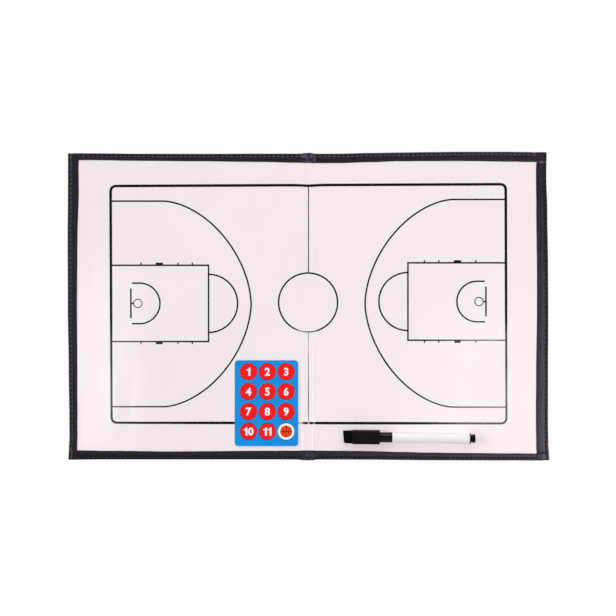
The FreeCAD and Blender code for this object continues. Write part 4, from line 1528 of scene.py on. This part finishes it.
class TACTICSBOARD_OT_stage(Operator):
    """Set the floor, the even light, the lamps and the camera"""

    bl_idname = "tacticsboard.stage"
    bl_label = "Stage"

    def execute(self, context):
        settings = context.scene.board_stage
        context.scene.view_settings.view_transform = "Standard"
        self.floor(settings)
        self.world(context.scene, settings)
        for name, share, place, size, shadows, shines in SOFT_LAMPS:
            lamp = self.lamp(name, settings.lamp_power * share, place, size)
            lamp.data.use_shadow = shadows
            lamp.visible_glossy = shines
            # A soft lamp faces the middle of the board.
            lamp.rotation_euler = Vector(place).to_track_quat("Z", "Y").to_euler()
        for index, (share, place, size) in enumerate(GLARE_PANELS):
            self.lamp(f"glare_panel_{index + 1}", settings.glare_power * share, place, size)
        self.camera(context.scene, settings)
        return {"FINISHED"}

    def floor(self, settings):
        """A pale floor with far walls, which looks white and still takes the board's shadow."""
        around = ((-1, -1), (1, -1), (1, 1), (-1, 1))
        levels = (FLOOR_LEVEL, WALL_HEIGHT)
        corners = [(x * STUDIO_REACH, y * STUDIO_REACH, z) for z in levels for x, y in around]
        walls = [(index, (index + 1) % 4, 4 + (index + 1) % 4, 4 + index) for index in range(4)]
        mesh = bpy.data.meshes.new("floor")
        mesh.from_pydata(corners, [], [(0, 1, 2, 3)] + walls)
        material, tree, shader = start_material("pale_floor", Roughness=0.9, Specular_IOR_Level=0.1)
        tone = toned(tree, settings.floor, scale=3.0, detail=2.0, light=1.02, dark=0.99)
        tree.links.new(tone, shader.inputs["Base Color"])
        path = add_node(tree, "ShaderNodeLightPath").outputs
        seen = calculate(tree, "MAXIMUM", path["Is Camera Ray"], path["Is Glossy Ray"])
        seen = calculate(tree, "MAXIMUM", seen, path["Is Transmission Ray"])
        away = add_node(tree, "ShaderNodeVectorMath", {0: surface_place(tree)}, operation="LENGTH")
        shown = calculate(tree, "MULTIPLY", seen, spread(tree, away.outputs["Value"], *FLOOR_SHOWN))
        white = add_node(tree, "ShaderNodeEmission", {"Color": WHITE, "Strength": 1.0})
        parts = {0: shown, 1: shader.outputs["BSDF"], 2: white.outputs["Emission"]}
        both = add_node(tree, "ShaderNodeMixShader", parts)
        tree.links.new(both.outputs["Shader"], tree.nodes["Material Output"].inputs["Surface"])
        mesh.materials.append(material)
        plane = bpy.data.objects.new("floor", mesh)
        bpy.context.scene.collection.objects.link(plane)

    def world(self, scene, settings):
        """Even light from all round."""
        scene.world = scene.world or bpy.data.worlds.new("studio")
        scene.world.use_nodes = True
        sky = scene.world.node_tree.nodes["Background"]
        sky.inputs["Color"].default_value = SKY
        sky.inputs["Strength"].default_value = settings.world_level

    def lamp(self, name, power, place, size):
        """A soft rectangular lamp, which faces straight down until it is turned."""
        data = bpy.data.lights.new(name, "AREA")
        data.shape = "RECTANGLE"
        data.size, data.size_y = size
        data.energy = power
        lamp = bpy.data.objects.new(name, data)
        lamp.location = place
        bpy.context.scene.collection.objects.link(lamp)
        return lamp

    def camera(self, scene, settings):
        """A camera straight above the board, as in the photograph."""
        data = bpy.data.cameras.new("camera")
        data.lens = settings.lens
        data.sensor_width = SENSOR_WIDTH
        camera = bpy.data.objects.new("camera", data)
        camera.location = (*CAMERA_PLACE, FACE * MM + settings.camera_height)
        scene.collection.objects.link(camera)
        scene.camera = camera


OPERATORS = (
    TACTICSBOARD_OT_leaf_layers,
    TACTICSBOARD_OT_leaf_covers,
    TACTICSBOARD_OT_spine,
    TACTICSBOARD_OT_stitching,
    TACTICSBOARD_OT_court_print,
    TACTICSBOARD_OT_magnet_card,
    TACTICSBOARD_OT_magnets,
    TACTICSBOARD_OT_marker_pen,
    TACTICSBOARD_OT_stage,
)


class TACTICSBOARD_PT_sidebar(Panel):
    """The board's pieces and settings"""

    bl_label = "Tactics board"
    bl_idname = "TACTICSBOARD_PT_sidebar"
    bl_space_type = "VIEW_3D"
    bl_region_type = "UI"
    bl_category = "Tactics board"

    def draw(self, context):
        for operator in OPERATORS:
            self.layout.operator(operator.bl_idname)
        for label, group in SETTINGS.items():
            block = self.layout.box()
            for setting in group.__annotations__:
                block.prop(getattr(context.scene, label), setting)


CLASSES = (*SETTINGS.values(), *OPERATORS, TACTICSBOARD_PT_sidebar)


def register():
    """Adds the settings, the operators and the panel."""
    for group in CLASSES:
        bpy.utils.register_class(group)
    for label, group in SETTINGS.items():
        setattr(bpy.types.Scene, label, PointerProperty(type=group))


def unregister():
    """Takes the settings, the operators and the panel away."""
    for label in SETTINGS:
        delattr(bpy.types.Scene, label)
    for group in reversed(CLASSES):
        bpy.utils.unregister_class(group)


def main():
    """Builds the board's looks."""
    register()
    bpy.ops.tacticsboard.leaf_layers()
    bpy.ops.tacticsboard.leaf_covers()
    bpy.ops.tacticsboard.spine()
    bpy.ops.tacticsboard.stitching()
    bpy.ops.tacticsboard.court_print()
    bpy.ops.tacticsboard.magnet_card()
    bpy.ops.tacticsboard.magnets()
    bpy.ops.tacticsboard.marker_pen()
    bpy.ops.tacticsboard.stage()


if __name__ == "__main__":
    main()
